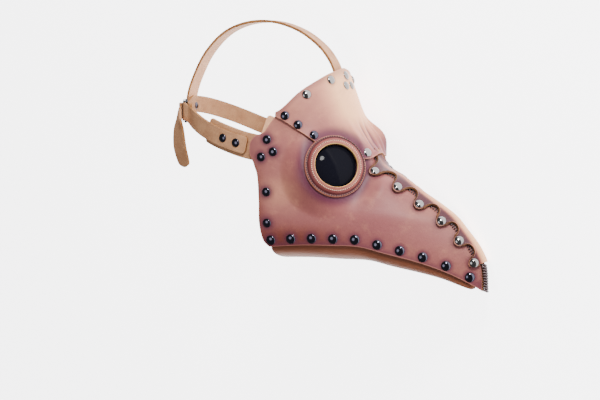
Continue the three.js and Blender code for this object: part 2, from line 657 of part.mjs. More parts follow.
// Lying down: laid on its left side, the beak lowered to the floor, the forehead lowered to it too and
// the whole turned so that its longest side runs along X. The middle of its footprint is the origin.
const laidDown = new THREE.Group();
laidDown.add(mask);
const turned = (axis, degrees) => {
  mask.applyQuaternion(new THREE.Quaternion().setFromAxisAngle(axis, degToRad(degrees)));
};
turned(new THREE.Vector3(1, 0, 0), LYING.onSide);
turned(new THREE.Vector3(0, 1, 0), LYING.beakDown);
turned(new THREE.Vector3(1, 0, 0), LYING.browDown);
turned(UP, LYING.heading);
const bounds = new THREE.Box3().setFromObject(laidDown, true);
const middle = bounds.getCenter(new THREE.Vector3());
mask.position.set(-middle.x, -middle.y, -bounds.min.z);

export default laidDown;
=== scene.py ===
"""Leather plague doctor mask, lying on the left side of its face.

Every piece is worked out upright, in millimetres: +X forward along the beak, +Y to the mask's left,
+Z up, the origin midway between the eyes. laid() turns it down onto the floor, in metres.
"""

import math

import bpy
import numpy as np
from mathutils import Matrix, Vector


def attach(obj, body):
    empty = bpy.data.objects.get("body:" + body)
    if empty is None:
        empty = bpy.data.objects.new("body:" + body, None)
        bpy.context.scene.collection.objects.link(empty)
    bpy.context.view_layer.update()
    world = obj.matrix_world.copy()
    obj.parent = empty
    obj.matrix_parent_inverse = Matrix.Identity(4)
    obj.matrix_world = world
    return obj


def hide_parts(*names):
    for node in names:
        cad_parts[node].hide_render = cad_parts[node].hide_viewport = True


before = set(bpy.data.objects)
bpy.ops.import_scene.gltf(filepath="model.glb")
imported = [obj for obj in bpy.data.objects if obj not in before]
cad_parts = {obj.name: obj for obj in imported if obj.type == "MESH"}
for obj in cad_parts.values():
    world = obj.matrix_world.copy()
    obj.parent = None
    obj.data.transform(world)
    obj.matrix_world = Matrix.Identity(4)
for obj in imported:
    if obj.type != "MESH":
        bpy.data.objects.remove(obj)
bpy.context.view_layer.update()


# Side panels: the cheek and the side of the beak in one piece of 3 mm vegetable-tanned leather a side,
# wet formed, pressed flat round the eye and riveted to their neighbours. The dye is airbrushed darkest
# round the eye, round the rivets and along the borders.

LEATHER = 3.0
MIRROR = np.array([1, -1, 1])
SIDES = (("right", np.array([1, 1, 1])), ("left", MIRROR))


def turn_about(axis, degrees):
    """The rotation about an axis, as a 3 x 3 array."""
    return np.array(Matrix.Rotation(math.radians(degrees), 3, axis))


# How it lies: on its left side, then the beak lowered, the forehead lowered and the whole turned so
# that the longest side runs along X; the middle of its footprint is the origin.
LYING = turn_about("Z", 25) @ turn_about("X", -15.03) @ turn_about("Y", 28.66) @ turn_about("X", -90)
LIFT = np.array([19.19, 6.13, 52.61])


def laid(points):
    """Row frame place, in metres, of upright places in millimetres."""
    return (np.asarray(points, float) @ LYING.T + LIFT) / 1000


def unit(vectors):
    """Vectors over their lengths."""
    return vectors / np.linalg.norm(vectors, axis=-1, keepdims=True)


# The form is the outer face of the side panels. A place on it is its turn (0 on the middle line, 1 where
# the mask is widest, negative on the right) and its height.

def smooth(value, low, high):
    """0 up to low, 1 from high on, and 3 s^2 - 2 s^3 at the share s of the way between."""
    share = np.clip((value - low) / (high - low), 0, 1)
    return share * share * (3 - 2 * share)


def curve_through(pairs):
    """A smooth curve through (place, value) pairs: a cubic on each span, whose slope at a pair is the
    mean of the slopes of the chords on its two sides, and at an end that of its one chord."""
    t, v = np.array(pairs, float).T
    last = len(t) - 1

    def value_at(place):
        place = np.clip(place, t[0], t[-1])
        i = np.clip(np.searchsorted(t, place, side="right"), 1, last)
        t0, t1, v0, v1 = t[i - 1], t[i], v[i - 1], v[i]
        t_before = np.where(i == 1, t1, t[np.maximum(i - 2, 0)])
        v_before = np.where(i == 1, v1, v[np.maximum(i - 2, 0)])
        t_after = np.where(i == last, t0, t[np.minimum(i + 1, last)])
        v_after = np.where(i == last, v0, v[np.minimum(i + 1, last)])
        before = (t1 - t0) / 2 / (t0 - t_before)
        after = (t1 - t0) / 2 / (t_after - t1)
        p = (place - t0) / (t1 - t0)
        return (
            (-before * p**3 + 2 * before * p**2 - before * p) * v_before
            + ((1 + before) * p**3 - (1.5 + 2 * before) * p**2 + (before - 0.5) * p + 1) * v0
            + ((-1 - after) * p**3 + (1.5 + after) * p**2 + 0.5 * p) * v1
            + (after * p**3 - after * p**2) * v_after
        )

    return value_at


ridge_at = curve_through([
    (-141, 159.5), (-108.4, 156.5), (-97, 151.2), (-87, 144.5), (-72.3, 132), (-58.5, 119), (-46.5, 101),
    (-35, 81.7), (-17.5, 54.5), (-8, 35), (7, 22), (85, -14), (104.5, -21), (113, -25),
])
half_breadth_at = curve_through([
    (-145, 60), (-110, 63), (-90, 66), (-50, 72), (0, 74.5), (62, 77), (85, 75.5), (105, 70), (113, 66.5),
])
EYE_X, EYE_Z = -5.5, -2.8
EYE_NORMAL = unit(np.array([0.66, -0.73, 0.26]))
RING = 35.5
SEAT_BLEND = 24


# At a height: the x where the form is widest, and the two powers in raw_skin.

def widest_at(z):
    return -93 - 24 * smooth(z, 0, 60)


def roundness_at(z):
    return 0.8 - 0.2 * smooth(z, -50, 0) - 0.1 * smooth(z, 0, 20)


def fullness_at(z):
    return 1.5 + 0.5 * smooth(z, -50, 0)


def raw_skin(turn, z):
    """x = ridge - length (1 - c), y = half breadth (1 - c^fullness)^roundness, with c = cos(turn x 90
    degrees); past turn 1 it runs straight back."""
    turn, z = np.broadcast_arrays(np.asarray(turn, float), np.asarray(z, float))
    length = ridge_at(z) - widest_at(z)
    behind = np.cos(np.minimum(np.abs(turn), 1) * np.pi / 2)
    x = ridge_at(z) - length * (1 - behind + np.maximum(np.abs(turn) - 1, 0))
    y = np.sign(turn) * half_breadth_at(z) * (1 - behind ** fullness_at(z)) ** roundness_at(z)
    return np.stack([x, y, z], axis=-1)


def turn_at(x, z):
    """The turn at which raw_skin has this x."""
    behind = (x - widest_at(z)) / (ridge_at(z) - widest_at(z))
    return np.where(behind >= 0, np.arccos(np.clip(behind, 0, 1)) * 2 / np.pi, 1 - behind)


def turn_of_half_width(half_width, z):
    """The turn at which raw_skin has this y."""
    share = (half_width / half_breadth_at(z)) ** (1 / roundness_at(z))
    return np.arccos((1 - share) ** (1 / fullness_at(z))) * 2 / np.pi


EYE = raw_skin(-turn_at(EYE_X, EYE_Z), EYE_Z)


def to_right(points):
    """Factors that bring places on the left over to the right."""
    return np.where(points[..., 1:2] > 0, MIRROR, 1)


def from_eye(points):
    """Height over the eye's seat and distance from its axis, either side."""
    away = points * to_right(points) - EYE
    height = away @ EYE_NORMAL
    return height, np.linalg.norm(away - height[..., None] * EYE_NORMAL, axis=-1)


def skin(turn, z):
    """The raw skin, pressed flat round each eye as a seat for the ring."""
    points = raw_skin(turn, z)
    height, reach = from_eye(points)
    press = (height * (1 - smooth(reach, RING - 1, RING + SEAT_BLEND)))[..., None]
    return points - press * EYE_NORMAL * to_right(points)


def skin_frame(x, z):
    """Point and outward normal on the right side, at a place given in the side view."""
    turn, turn_step, height_step = -turn_at(x, z), 0.004, 0.5
    forward = skin(turn + turn_step, z) - skin(turn - turn_step, z)
    upward = skin(turn, z + height_step) - skin(turn, z - height_step)
    return skin(turn, z), unit(np.cross(forward, upward))


def smooth_path(places, count):
    """count places on a smooth curve through the given ones: a cubic on each span, whose slope at a
    place is half the chord between its two neighbours."""
    p = np.array(places, float)
    p = np.concatenate([p[:1], p, p[-1:]])
    t = np.linspace(0, len(places) - 1, count)
    i = np.minimum(t.astype(int), len(places) - 2)
    w = (t - i)[:, None]
    a, b, c, d = p[i], p[i + 1], p[i + 2], p[i + 3]
    v0, v1 = (c - a) / 2, (d - b) / 2
    return (2 * b - 2 * c + v0 + v1) * w**3 + (3 * c - 3 * b - 2 * v0 - v1) * w**2 + v0 * w + b


def run_along(grid, axis=0):
    """Length run along the lines of a grid, or along a path, from its start."""
    steps = np.linalg.norm(np.diff(grid, axis=axis), axis=-1)
    start = np.zeros_like(np.take(steps, [0], axis=axis))
    return np.concatenate([start, np.cumsum(steps, axis=axis)], axis=axis)


def evenly(path, count):
    """The same path with its places at even steps of length."""
    run = run_along(path)
    steps = np.linspace(0, run[-1], count)
    return np.stack([np.interp(steps, run, path[:, k]) for k in range(path.shape[1])], axis=-1)


# The outline, as (turn, height) places in which a whole turn counts as 100 mm.

WHOLE_TURN = 100
HALF_SEAM = 3.0
TIP_Z, STRIP_FOOT_Z = -139.0, -108.4
EYE_HOLE = 21.5
PANEL_COLUMNS, PANEL_ROWS = 190, 112


def marked(places):
    """Outline places of side-view (x, z) places."""
    x, z = np.array(places, float).T
    return np.stack([-turn_at(x, z) * WHOLE_TURN, z], axis=-1)


def seam_place(z):
    """Outline places half the seam's width from the middle line."""
    z = np.array(z)
    return np.stack([-turn_of_half_width(HALF_SEAM, z) * WHOLE_TURN, z], axis=-1)


def on_skin(place):
    """Outline places brought onto the skin."""
    return skin(place[..., 0] / WHOLE_TURN, place[..., 1])


def patch(foot, top, rear, front, columns, rows):
    """Grid stretched between four borders, on the skin: the blend from foot to top plus that from rear to
    front, less the blend of the four corners."""
    u = np.linspace(0, 1, columns)[None, :, None]
    v = np.linspace(0, 1, rows)[:, None, None]
    foot, top = evenly(foot, columns)[None], evenly(top, columns)[None]
    rear, front = evenly(rear, rows)[:, None], evenly(front, rows)[:, None]
    place = foot * (1 - v) + top * v + rear * (1 - u) + front * u
    place = place - foot[:, :1] * (1 - u) * (1 - v) - foot[:, -1:] * u * (1 - v)
    place = place - top[:, :1] * (1 - u) * v - top[:, -1:] * u * v
    return on_skin(place)


LOWER_EDGE = [
    (-80.5, -96), (-42, -92.6), (-8, -91.8), (24, -92.2), (52.3, -98.9), (84.7, -106.8), (111, -115.5),
    (143, -131),
]
lower_edge = curve_through(LOWER_EDGE)
panel_foot = np.concatenate([marked(LOWER_EDGE), seam_place([TIP_Z])])
panel_rear = marked([
    (-80.5, -96), (-88, -88), (-91.2, -68), (-90, -40), (-91.3, -13), (-95, -1.5), (-100, 10), (-99.8, 22),
    (-93, 31), (-82, 35.5), (-74, 47), (-64, 61),
])
panel_top = np.concatenate([
    marked([(-64, 61), (-44, 55), (-22, 44), (-4, 33)]),
    seam_place([*np.arange(11.0, STRIP_FOOT_Z, -12), STRIP_FOOT_Z]),
])
panel_front = seam_place([TIP_Z, -124.0, STRIP_FOOT_Z])
side_grid = patch(
    smooth_path(panel_foot, 400), smooth_path(panel_top, 400), smooth_path(panel_rear, 400),
    smooth_path(panel_front, 60), PANEL_COLUMNS, PANEL_ROWS,
)


def eye_hole(grid, radius):
    """The grid with its places near the eye's hole drawn onto its rim, and which of them are leather."""
    height, reach = from_eye(grid)
    on_axis = EYE + height[..., None] * EYE_NORMAL
    out = (grid * to_right(grid) - on_axis) / np.maximum(reach, 1e-6)[..., None]
    rim = (on_axis + out * radius) * to_right(grid)
    close = (np.abs(reach - radius) < 1.0) & (np.abs(height) < 12)
    return np.where(close[..., None], rim, grid), (reach > radius - 0.2) | close


# The places of the rivets are marked here, because the dye is darker round each. GAP and RIDGE_GAP keep
# what lies over the panels clear of them, PLY is a layer of leather with its own gap.

GAP = 1.0
RIDGE_GAP = 1.5
OVER = GAP + LEATHER
OVER_RIDGE = RIDGE_GAP + LEATHER
PLY = LEATHER + 0.8
RIDGE_STEPS = 400
LOBES, PITCH, FIRST_LOBE = 6, 31.6, 15.8
LOWER_ROW, LOWER_PITCH, ABOVE_EDGE = 10, 24.55, 7.7


def fitted(x, z, top):
    """Place and outward axis of a rivet, a height top over the skin."""
    point, normal = skin_frame(np.array(float(x)), np.array(float(z)))
    return point + normal * top, normal


def at_half_width(half_width, z):
    """Side-view place at a half width from the middle line."""
    return raw_skin(-turn_of_half_width(half_width, z), z)[0], z


ridge_z = np.linspace(5.4, -108, RIDGE_STEPS)
ridge_path = np.stack([ridge_at(ridge_z), ridge_z], axis=-1)
ridge_length = run_along(ridge_path)[-1]
ridge_path = evenly(ridge_path, RIDGE_STEPS)
ridge_run = unit(np.gradient(ridge_path, axis=0))


def down_from_ridge(length, reach):
    """Side-view place at a reach down the side of the beak, measured on the skin, from a length along
    the ridge. Both are arrays of one shape."""
    step = 60 * (np.arange(0, 161) / 160) ** 3
    index = np.clip(length / ridge_length, 0, 1) * (RIDGE_STEPS - 1)
    start, run = (
        np.stack([np.interp(index, np.arange(RIDGE_STEPS), line[:, k]) for k in (0, 1)], axis=-1)
        for line in (ridge_path, ridge_run)
    )
    x = start[:, :1] + run[:, 1:] * step
    z = start[:, 1:] - run[:, :1] * step
    gone = run_along(raw_skin(-turn_at(x, z), z), axis=1)
    found = np.array([np.interp(r, g, step) for r, g in zip(reach, gone)])
    return start[:, 0] + run[:, 1] * found, start[:, 1] - run[:, 0] * found


def rivet_reach(length):
    """Reach of a lobe's rivet: 20.5 at the first lobe, evenly down to 11.5 at the last."""
    return 20.5 - 9 * np.clip((length - FIRST_LOBE) / ((LOBES - 1) * PITCH), 0, 1)


lobe_lengths = FIRST_LOBE + PITCH * np.arange(LOBES)
lobe_x, lobe_z = down_from_ridge(lobe_lengths, rivet_reach(lobe_lengths))
lower_x = -78 + LOWER_PITCH * np.arange(LOWER_ROW)
rivets = {
    "brow_top": [fitted(x, z, OVER) for x, z in [(-23.5, 93.3), (-39.5, 77.3)]],
    "seam": [fitted(x, z, OVER) for x, z in [(-58.4, 54), (-44.5, 43.6), (-28.4, 31.6)]],
    "ear": [fitted(x, z, 0) for x, z in [(-78.1, 27.3), (-70.8, 13.6), (-85.4, 7.4)]],
    "cheek": [fitted(x, z, 0) for x, z in [(-80, -32.4), (-81.2, -68.3)]],
    "lobe": [fitted(x, z, OVER_RIDGE) for x, z in zip(lobe_x, lobe_z)],
    "nose": [fitted(*at_half_width(16, 10.0), OVER)],
    "lower": [fitted(x, lower_edge(x) + ABOVE_EDGE, 0) for x in lower_x],
}
brow_middle = fitted(ridge_at(98.2), 98.2, OVER)
brow_side = fitted(*at_half_width(6.4, 86.5), OVER)


def places_of(*names):
    """Places of named rows of rivets, on both sides."""
    right = [point for name in names for point, _ in rivets[name]]
    return right + [point * MIRROR for point in right]


def band(value, middle, width):
    """1 at the middle, falling off on both sides as exp(-(distance / width)^2)."""
    return np.exp(-(((value - middle) / width) ** 2))


def near(points, centres, radius):
    """1 at the centres, falling off all round as a band does."""
    total = np.zeros(points.shape[:-1])
    for centre in centres:
        total = np.maximum(total, band(np.linalg.norm(points - centre, axis=-1), 0, radius))
    return total


def face_fields(grid, fittings, radius=9.5):
    """How dark the airbrushed plum is and how red-brown the leather is over the face, and a painted
    highlight that makes it paler higher up, towards the front of the beak and in a patch on the cheek.
    """
    height, reach = from_eye(grid)
    round_eye = 1 - smooth(reach, RING, RING + 18)
    x, z = grid[..., 0], grid[..., 2]
    above = z - lower_edge(x)
    rear = 1 - smooth(x, -97, -74)
    border = 1 - smooth(above, 0, 13)
    mauve = np.maximum(smooth(x, -20, 40), smooth(z, 20, 45) * smooth(np.abs(grid[..., 1]), 28, 52))
    plum = np.maximum.reduce([
        round_eye * 0.93, near(grid, fittings, radius) * 0.98, rear * 0.34 * smooth(z, -30, 10),
        border * 0.6, mauve * 0.3,
    ])
    behind = 1 - smooth(x, -70, 60)
    warm = np.maximum(
        (1 - smooth(above, 0, 40)) * (0.34 + 0.66 * behind), rear * 0.72 * (1 - smooth(z, -20, 25)))
    warm = np.maximum(warm, (1 - smooth(above, 4, 30)) * smooth(x, 95, 140) * 0.3)
    # Painted highlight: paler up the face and towards the beak's front, with a painted pool of light on the
    # cheek.
    pale_and_highlight = 0.12 * smooth(above, 30, 70) + smooth(z, 15, 80) * 0.34 + smooth(x, 20, 110) * 0.12
    pale_and_highlight = pale_and_highlight + 0.4 * near(grid * [1, 0, 1], [np.array([-62.0, 0, -34.0])], 20)
    return np.clip(plum, 0, 1), np.clip(warm, 0, 1), pale_and_highlight


side_grid, side_leather = eye_hole(side_grid, EYE_HOLE)
side_dye_and_shade, side_warm, side_highlight = face_fields(side_grid, places_of("ear", "cheek", "lower"))
# Painted shade on the panel beneath the ridge strip's lobes.
side_dye_and_shade = np.maximum(side_dye_and_shade, near(side_grid, places_of("lobe"), 11.5) * 0.9)
side_fields = {"dye_and_shade": side_dye_and_shade, "warm": side_warm, "pale_and_highlight": side_highlight}


# The leather's look: node trees written as sums and products.

class Field:
    """A value in a material's node tree. Sums and products of fields become Math nodes."""

    def __init__(self, graph, socket):
        self.graph = graph
        self.socket = socket

    def _math(self, operation, a, b):
        return self.graph.node("ShaderNodeMath", [a, b], operation=operation)

    def __add__(self, other):
        return self._math("ADD", self, other)

    def __radd__(self, other):
        return self._math("ADD", other, self)

    def __sub__(self, other):
        return self._math("SUBTRACT", self, other)

    def __rsub__(self, other):
        return self._math("SUBTRACT", other, self)

    def __mul__(self, other):
        return self._math("MULTIPLY", self, other)


class Graph:
    """A material's node tree."""

    def __init__(self, name):
        self.material = bpy.data.materials.new(name)
        self.material.use_nodes = True
        self.tree = self.material.node_tree
        self.shader = self.tree.nodes["Principled BSDF"]

    def put(self, socket, value):
        if isinstance(value, Field):
            self.tree.links.new(value.socket, socket)
        elif socket.type == "RGBA":
            socket.default_value = (*value, 1)
        else:
            socket.default_value = value

    def node(self, kind, inputs, output=0, **settings):
        node = self.tree.nodes.new(kind)
        for key, value in settings.items():
            setattr(node, key, value)
        pairs = inputs.items() if isinstance(inputs, dict) else enumerate(inputs)
        for key, value in pairs:
            self.put(node.inputs[key], value)
        return Field(self, node.outputs[output])

    def place(self):
        return self.node("ShaderNodeTexCoord", {}, "Object")

    def attribute(self, name):
        return self.node("ShaderNodeAttribute", {}, "Fac", attribute_name=name)

    def noise(self, scale, detail, roughness, vector=None):
        inputs = {"Vector": vector or self.place(), "Scale": scale, "Detail": detail, "Roughness": roughness}
        return self.node("ShaderNodeTexNoise", inputs, "Fac")

    def cells(self, scale, feature="F1"):
        inputs = {"Vector": self.place(), "Scale": scale}
        return self.node("ShaderNodeTexVoronoi", inputs, "Distance", feature=feature)

    def stretched(self, factors):
        return self.node("ShaderNodeMapping", {"Vector": self.place(), "Scale": factors}, "Vector")

    def ramp(self, value, low, high):
        return self.node(
            "ShaderNodeMapRange", {"Value": value, "From Min": low, "From Max": high},
            interpolation_type="SMOOTHSTEP",
        )

    def mix(self, share, a, b):
        return self.node("ShaderNodeMix", {0: share, 6: a, 7: b}, 2, data_type="RGBA")

    def bump(self, height, depth, strength, normal=None):
        inputs = {"Height": height, "Distance": depth, "Strength": strength}
        if normal:
            inputs["Normal"] = normal
        return self.node("ShaderNodeBump", inputs, "Normal")

    def surface(self, **values):
        for key, value in values.items():
            self.put(self.shader.inputs[key.replace("_", " ")], value)
        return self.material


ROSY = (0.180, 0.056, 0.053)
TAN = (0.36, 0.148, 0.095)
PLUM = (0.048, 0.0085, 0.024)
# Cream is the colour of the painted highlight.
CREAM_HIGHLIGHT = (0.60, 0.325, 0.160)
RED_BROWN = (0.078, 0.0125, 0.0050)


def toned(colour, factor):
    """The colour times a factor."""
    return tuple(part * factor for part in colour)


def grain_leather(name, rosy, tan, dye_and_shade, rough):
    """Vegetable-tanned leather, wiped with dye: rosy and tan clouds; plum from one attribute, airbrushed
    round fittings and edges and painted as shade in folds, under overlying pieces and on sides turned from
    the light; red-brown low on the cheeks (warm); a painted highlight towards cream from another
    attribute; fine pores and wrinkles."""
    g = Graph(name)
    dye_and_shade_share = g.attribute("dye_and_shade")
    pale_and_highlight = g.attribute("pale_and_highlight")
    edge = g.attribute("edge")
    clouds = g.noise(14, 5, 0.6)
    mottle = g.noise(70, 6, 0.65)
    streaks = g.noise(45, 5, 0.7, g.stretched((1, 3.2, 1)))
    fine = g.noise(900, 3, 0.6)
    # The painted highlight lifts the colour from rosy through tan to cream.
    base = g.mix(g.ramp(clouds * 0.6 + mottle * 0.25 + pale_and_highlight * 0.75, 0.36, 1.02), rosy, tan)
    base = g.mix(g.ramp(pale_and_highlight + mottle * 0.2, 0.72, 1.5) * 0.85, base, CREAM_HIGHLIGHT)
    base = g.mix(g.ramp(streaks, 0.5, 0.78) * 0.22, base, toned(rosy, 0.62))
    base = g.mix(g.ramp(mottle, 0.52, 0.8) * 0.3, base, toned(tan, 1.22))
    # One share of plum stands for the dye and the painted shade together.
    dye_and_shade_mix = g.ramp(dye_and_shade_share * (0.72 + clouds * 0.5) + mottle * 0.1, 0.08, 0.98)
    redder = g.ramp(g.attribute("warm") + mottle * 0.3 - 0.15, 0.0, 1.0)
    base = g.mix(redder * 0.92, base, RED_BROWN)
    base = g.mix(dye_and_shade_mix * 0.92, base, dye_and_shade)
    burnish = 1 - g.ramp(edge, 0.3, 1.6)
    base = g.mix(burnish * 0.35, base, toned(tan, 1.25))
    base = g.mix(g.ramp(fine, 0.62, 0.8) * 0.2, base, toned(dye_and_shade, 0.55))
    pores = g.cells(1250)
    wrinkles = g.cells(420, "F2")
    low = g.bump(clouds * 0.6 + mottle * 0.4, 0.0009, 0.35)
    middle = g.bump(wrinkles, 0.00022, 0.3, low)
    normal = g.bump(pores * 0.7 + fine * 0.5, 0.00012, 0.45, middle)
    return g.surface(
        Base_Color=base, Roughness=rough + mottle * 0.16 - dye_and_shade_share * 0.08, Normal=normal,
        Coat_Weight=0.02, Coat_Roughness=0.3, Specular_IOR_Level=0.14,
    )


def fibre_leather(name, light, dark):
    """The cut edge or the flesh side: matt, fibrous."""
    g = Graph(name)
    fibres = g.noise(700, 6, 0.7, g.stretched((1, 1, 3)))
    clouds = g.noise(60, 4, 0.6)
    base = g.mix(g.ramp(fibres * 0.6 + clouds * 0.5, 0.35, 0.8), dark, light)
    return g.surface(
        Base_Color=base, Roughness=0.78 + fibres * 0.15, Normal=g.bump(fibres, 0.0003, 0.6),
        Specular_IOR_Level=0.25,
    )


panel_leather = grain_leather("panel_leather", ROSY, TAN, PLUM, 0.42)
cut_edge = fibre_leather("cut_edge", (0.30, 0.135, 0.040), (0.10, 0.033, 0.010))
flesh_side = fibre_leather("flesh_side", (0.36, 0.19, 0.095), (0.21, 0.095, 0.045))


def piece(name, points, faces, materials, fields=None):
    """A piece from upright places and the numbers of each face's places. fields are named values on the
    places, read by its material."""
    mesh = bpy.data.meshes.new(name)
    mesh.from_pydata(laid(points).tolist(), [], faces)
    for key, value in (fields or {}).items():
        mesh.attributes.new(key, "FLOAT", "POINT").data.foreach_set("value", value.astype(np.float32))
    for material in materials:
        mesh.materials.append(material)
    mesh.shade_smooth()
    body = bpy.data.objects.new(name, mesh)
    bpy.context.scene.collection.objects.link(body)
    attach(body, "root")
    return body


def cloth_of_grid(name, grid, materials, fields, thickness=LEATHER, inward=-1.0, keep=None, bevel=0.7):
    """A piece of leather from the grid of its outer face (rows, columns, 3): faces between neighbours,
    given its thickness, a cut edge round it and a slightly rounded arris. fields are named values on its
    places; edge, the distance to the nearest border in millimetres, is added to them. keep marks the
    places that are leather, for a piece with a hole."""
    index = np.arange(grid[..., 0].size).reshape(grid.shape[:2])
    corners = [index[:-1, :-1], index[:-1, 1:], index[1:, 1:], index[1:, :-1]]
    faces = np.stack([corner.ravel() for corner in corners], axis=-1)
    if keep is not None:
        faces = faces[keep.ravel()[faces].all(axis=1)]
    used, numbers = np.unique(faces, return_inverse=True)
    across, along = run_along(grid, axis=1), run_along(grid)
    edge = np.minimum.reduce([across, across[:, -1:] - across, along, along[-1:] - along])
    values = {"dye_and_shade": 0 * edge, "warm": 0 * edge, "pale_and_highlight": 0 * edge, "edge": edge, **fields}
    body = piece(
        name, grid.reshape(-1, 3)[used], numbers.reshape(-1, 4).tolist(), materials,
        {key: value.reshape(-1)[used] for key, value in values.items()},
    )
    finishes = {
        "SOLIDIFY": {"thickness": thickness / 1000, "offset": inward, "use_even_offset": False,
                     "material_offset_rim": 1, "material_offset": 2},
        "BEVEL": {"width": bevel / 1000, "segments": 2, "limit_method": "ANGLE",
                  "angle_limit": math.radians(50)},
    }
    for kind, settings in finishes.items():
        modifier = body.modifiers.new(kind.lower(), kind)
        for key, value in settings.items():
            setattr(modifier, key, value)
    return body


# The left panel's columns run the other way, which keeps its faces outwards.

for side, flip in SIDES:
    onward = flip[1]
    panel = cloth_of_grid(
        f"side_{side}_leather", (side_grid * flip)[:, ::onward], [panel_leather, cut_edge, flesh_side],
        {key: field[:, ::onward] for key, field in side_fields.items()}, keep=side_leather[:, ::onward],
    )
    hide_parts(f"side_panel_{side}")


# Brow panel: one piece of the same leather over the forehead and down the nose, lying on the side panels
# and riveted to them along its foot; pulled between the eyes it puckers into short folds at the bridge.

FOLD_REACH, FOLD_DEPTH = 19, 1.9
NOSE_TAB_RISE = 3.6
BULGE_LEFT, BULGE_RIGHT = 10.0, 1.6
BROW_COLUMNS, BROW_ROWS = 261, 90
brow_top = marked([(-68.8, 58), (-62.1, 62.5), (-47.7, 78.9), (-35.2, 90.9), (-26, 100.5), (-21.8, 105.5)])
brow_foot = marked([(-68.8, 53.6), (-56.9, 46.7), (-40.4, 34.8), (-26.5, 24.4), (0, 10), (18, 3.6)])


def both_sides(right, middle):
    """The right half of a line, its middle place and the mirrored half."""
    return np.concatenate([right, [middle], (right * [-1, 1])[::-1]])


def normals_of(grid):
    """Outward unit normals of a grid of places: step along its rows x step from row to row."""
    return unit(np.cross(np.gradient(grid, axis=1), np.gradient(grid, axis=0)))


top_line = smooth_path(both_sides(brow_top, (0, 106.3)), BROW_COLUMNS)
foot_line = smooth_path(both_sides(brow_foot, (0, 7.3)), BROW_COLUMNS)
rise = np.linspace(0, 1, BROW_ROWS)[:, None, None]
brow_place = foot_line[None] * (1 - rise) + top_line[None] * rise
brow_grid = on_skin(brow_place)
brow_grid = brow_grid + normals_of(brow_grid) * OVER
bridge_y, bridge_z = brow_grid[..., 1], brow_grid[..., 2]
puckered = band(bridge_y, 0, FOLD_REACH) * smooth(bridge_z, 8, 18) * (1 - smooth(bridge_z, 30, 58))
folds = np.cos(bridge_y / FOLD_REACH * 2 * np.pi * 1.6 + 0.5 * np.sin(bridge_z / 7)) * 0.5 - 0.5
over_strip = NOSE_TAB_RISE * np.exp(-((bridge_y / 10) ** 4)) * (1 - smooth(bridge_z, 8, 26))
gathered = band(np.abs(bridge_y), 26, 9) * band(bridge_z, 26, 18) * (0.75 + 0.25 * np.cos(bridge_y * 0.75))
gathered = gathered * np.where(bridge_y > 0, BULGE_LEFT, BULGE_RIGHT)
lift = puckered * folds * FOLD_DEPTH + over_strip + gathered
brow_grid = brow_grid + normals_of(brow_grid) * lift[..., None]
height, reach = from_eye(brow_grid)
brow_leather = (reach > RING - 2.2) | (np.abs(height) > 22)
brow_fittings = [*places_of("brow_top", "seam", "nose"), brow_middle[0]]
brow_dye_and_shade, _, brow_highlight = face_fields(brow_grid, brow_fittings, 6.5)
brow_rear = 1 - smooth(np.abs(top_line[None, :, 1] - brow_place[..., 1]), 0, 16)
# Painted shade in the troughs of the folds at the bridge, besides the dye.
brow_dye_and_shade = np.maximum.reduce([brow_dye_and_shade * 0.92, puckered * (-folds) * 0.8, brow_rear * 0.5])
# Painted highlight on the middle of the brow above the bridge, where the light falls.
catches_light = smooth(-np.abs(bridge_y), -54, -14) * smooth(bridge_z, 16, 60)
brow_highlight = np.clip(brow_highlight + 0.95 * catches_light, 0, 1.25)
brow = cloth_of_grid(
    "brow_leather", brow_grid, [panel_leather, cut_edge, flesh_side],
    {"dye_and_shade": brow_dye_and_shade, "pale_and_highlight": brow_highlight}, keep=brow_leather,
)
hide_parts("brow_panel")


# Ridge strip: one strip of thinner leather over the ridge, both edges cut in lobes and burnished, a rivet
# in each lobe; in the notches between them the waxed lacing of the seam beneath shows.

LOBE = 6.2
NOTCH = 5.0
STRIP_LENGTH = 5.625 * PITCH
STRIP_THICKNESS = 2.2
LOBE_ROWS, END_ROWS, STRIP_COLUMNS, TUCKED_ROWS = 34, 26, 33, 11
strip_leather = grain_leather(
    "strip_leather", (0.120, 0.030, 0.027), (0.38, 0.155, 0.084), (0.030, 0.0055, 0.011), 0.38)
strip_edge = fibre_leather("strip_edge", (0.105, 0.040, 0.010), (0.022, 0.007, 0.004))


def half_lobe(centre):
    """Outline from the middle of a notch to the middle of the next lobe, as (length, reach): a quarter
    of an ellipse into the notch and a quarter of a circle round the rivet."""
    rivet = rivet_reach(centre)
    a = np.linspace(0, np.pi / 2, 40)
    notch = np.stack([
        centre - PITCH / 2 + (PITCH / 2 - LOBE) * np.sin(a), rivet - (rivet - NOTCH) * np.cos(a)], axis=-1)
    lobe = np.stack([centre - LOBE * np.cos(a), rivet + LOBE * np.sin(a)], axis=-1)
    return evenly(np.concatenate([notch, lobe[1:]]), LOBE_ROWS)


def strip_rows():
    """Rows of the strip from the tip to the nose: the place on the ridge and on the outline of each. Each
    lobe is its half and the mirrored half; the end takes the place of the very last half."""
    ridge, border = [], []
    for centre in lobe_lengths:
        half = half_lobe(centre)
        back = half[::-1] * [-1, 1] + [2 * centre, 0]
        for start, line in ((centre - PITCH / 2, half), (centre, back)):
            ridge.append(np.linspace(start, start + PITCH / 2, LOBE_ROWS)[:-1])
            border.append(line[:-1])
    last = rivet_reach(centre)
    turn_end = np.linspace(np.pi / 2, 0.35 * np.pi, 12)
    end = np.stack([centre + LOBE * np.cos(turn_end), last + LOBE * np.sin(turn_end)], axis=-1)
    end = np.concatenate([end, [(STRIP_LENGTH - 0.3, last + 1), (STRIP_LENGTH, 7.5)]])
    ridge[-1] = np.linspace(centre, STRIP_LENGTH, END_ROWS)
    border[-1] = evenly(end, END_ROWS)
    return np.concatenate(ridge)[::-1], np.concatenate(border)[::-1]


def on_beak(length, reach, top):
    """Places on the right of the beak, lifted by top off the skin."""
    point, normal = skin_frame(*down_from_ridge(length, reach))
    return point + top * normal


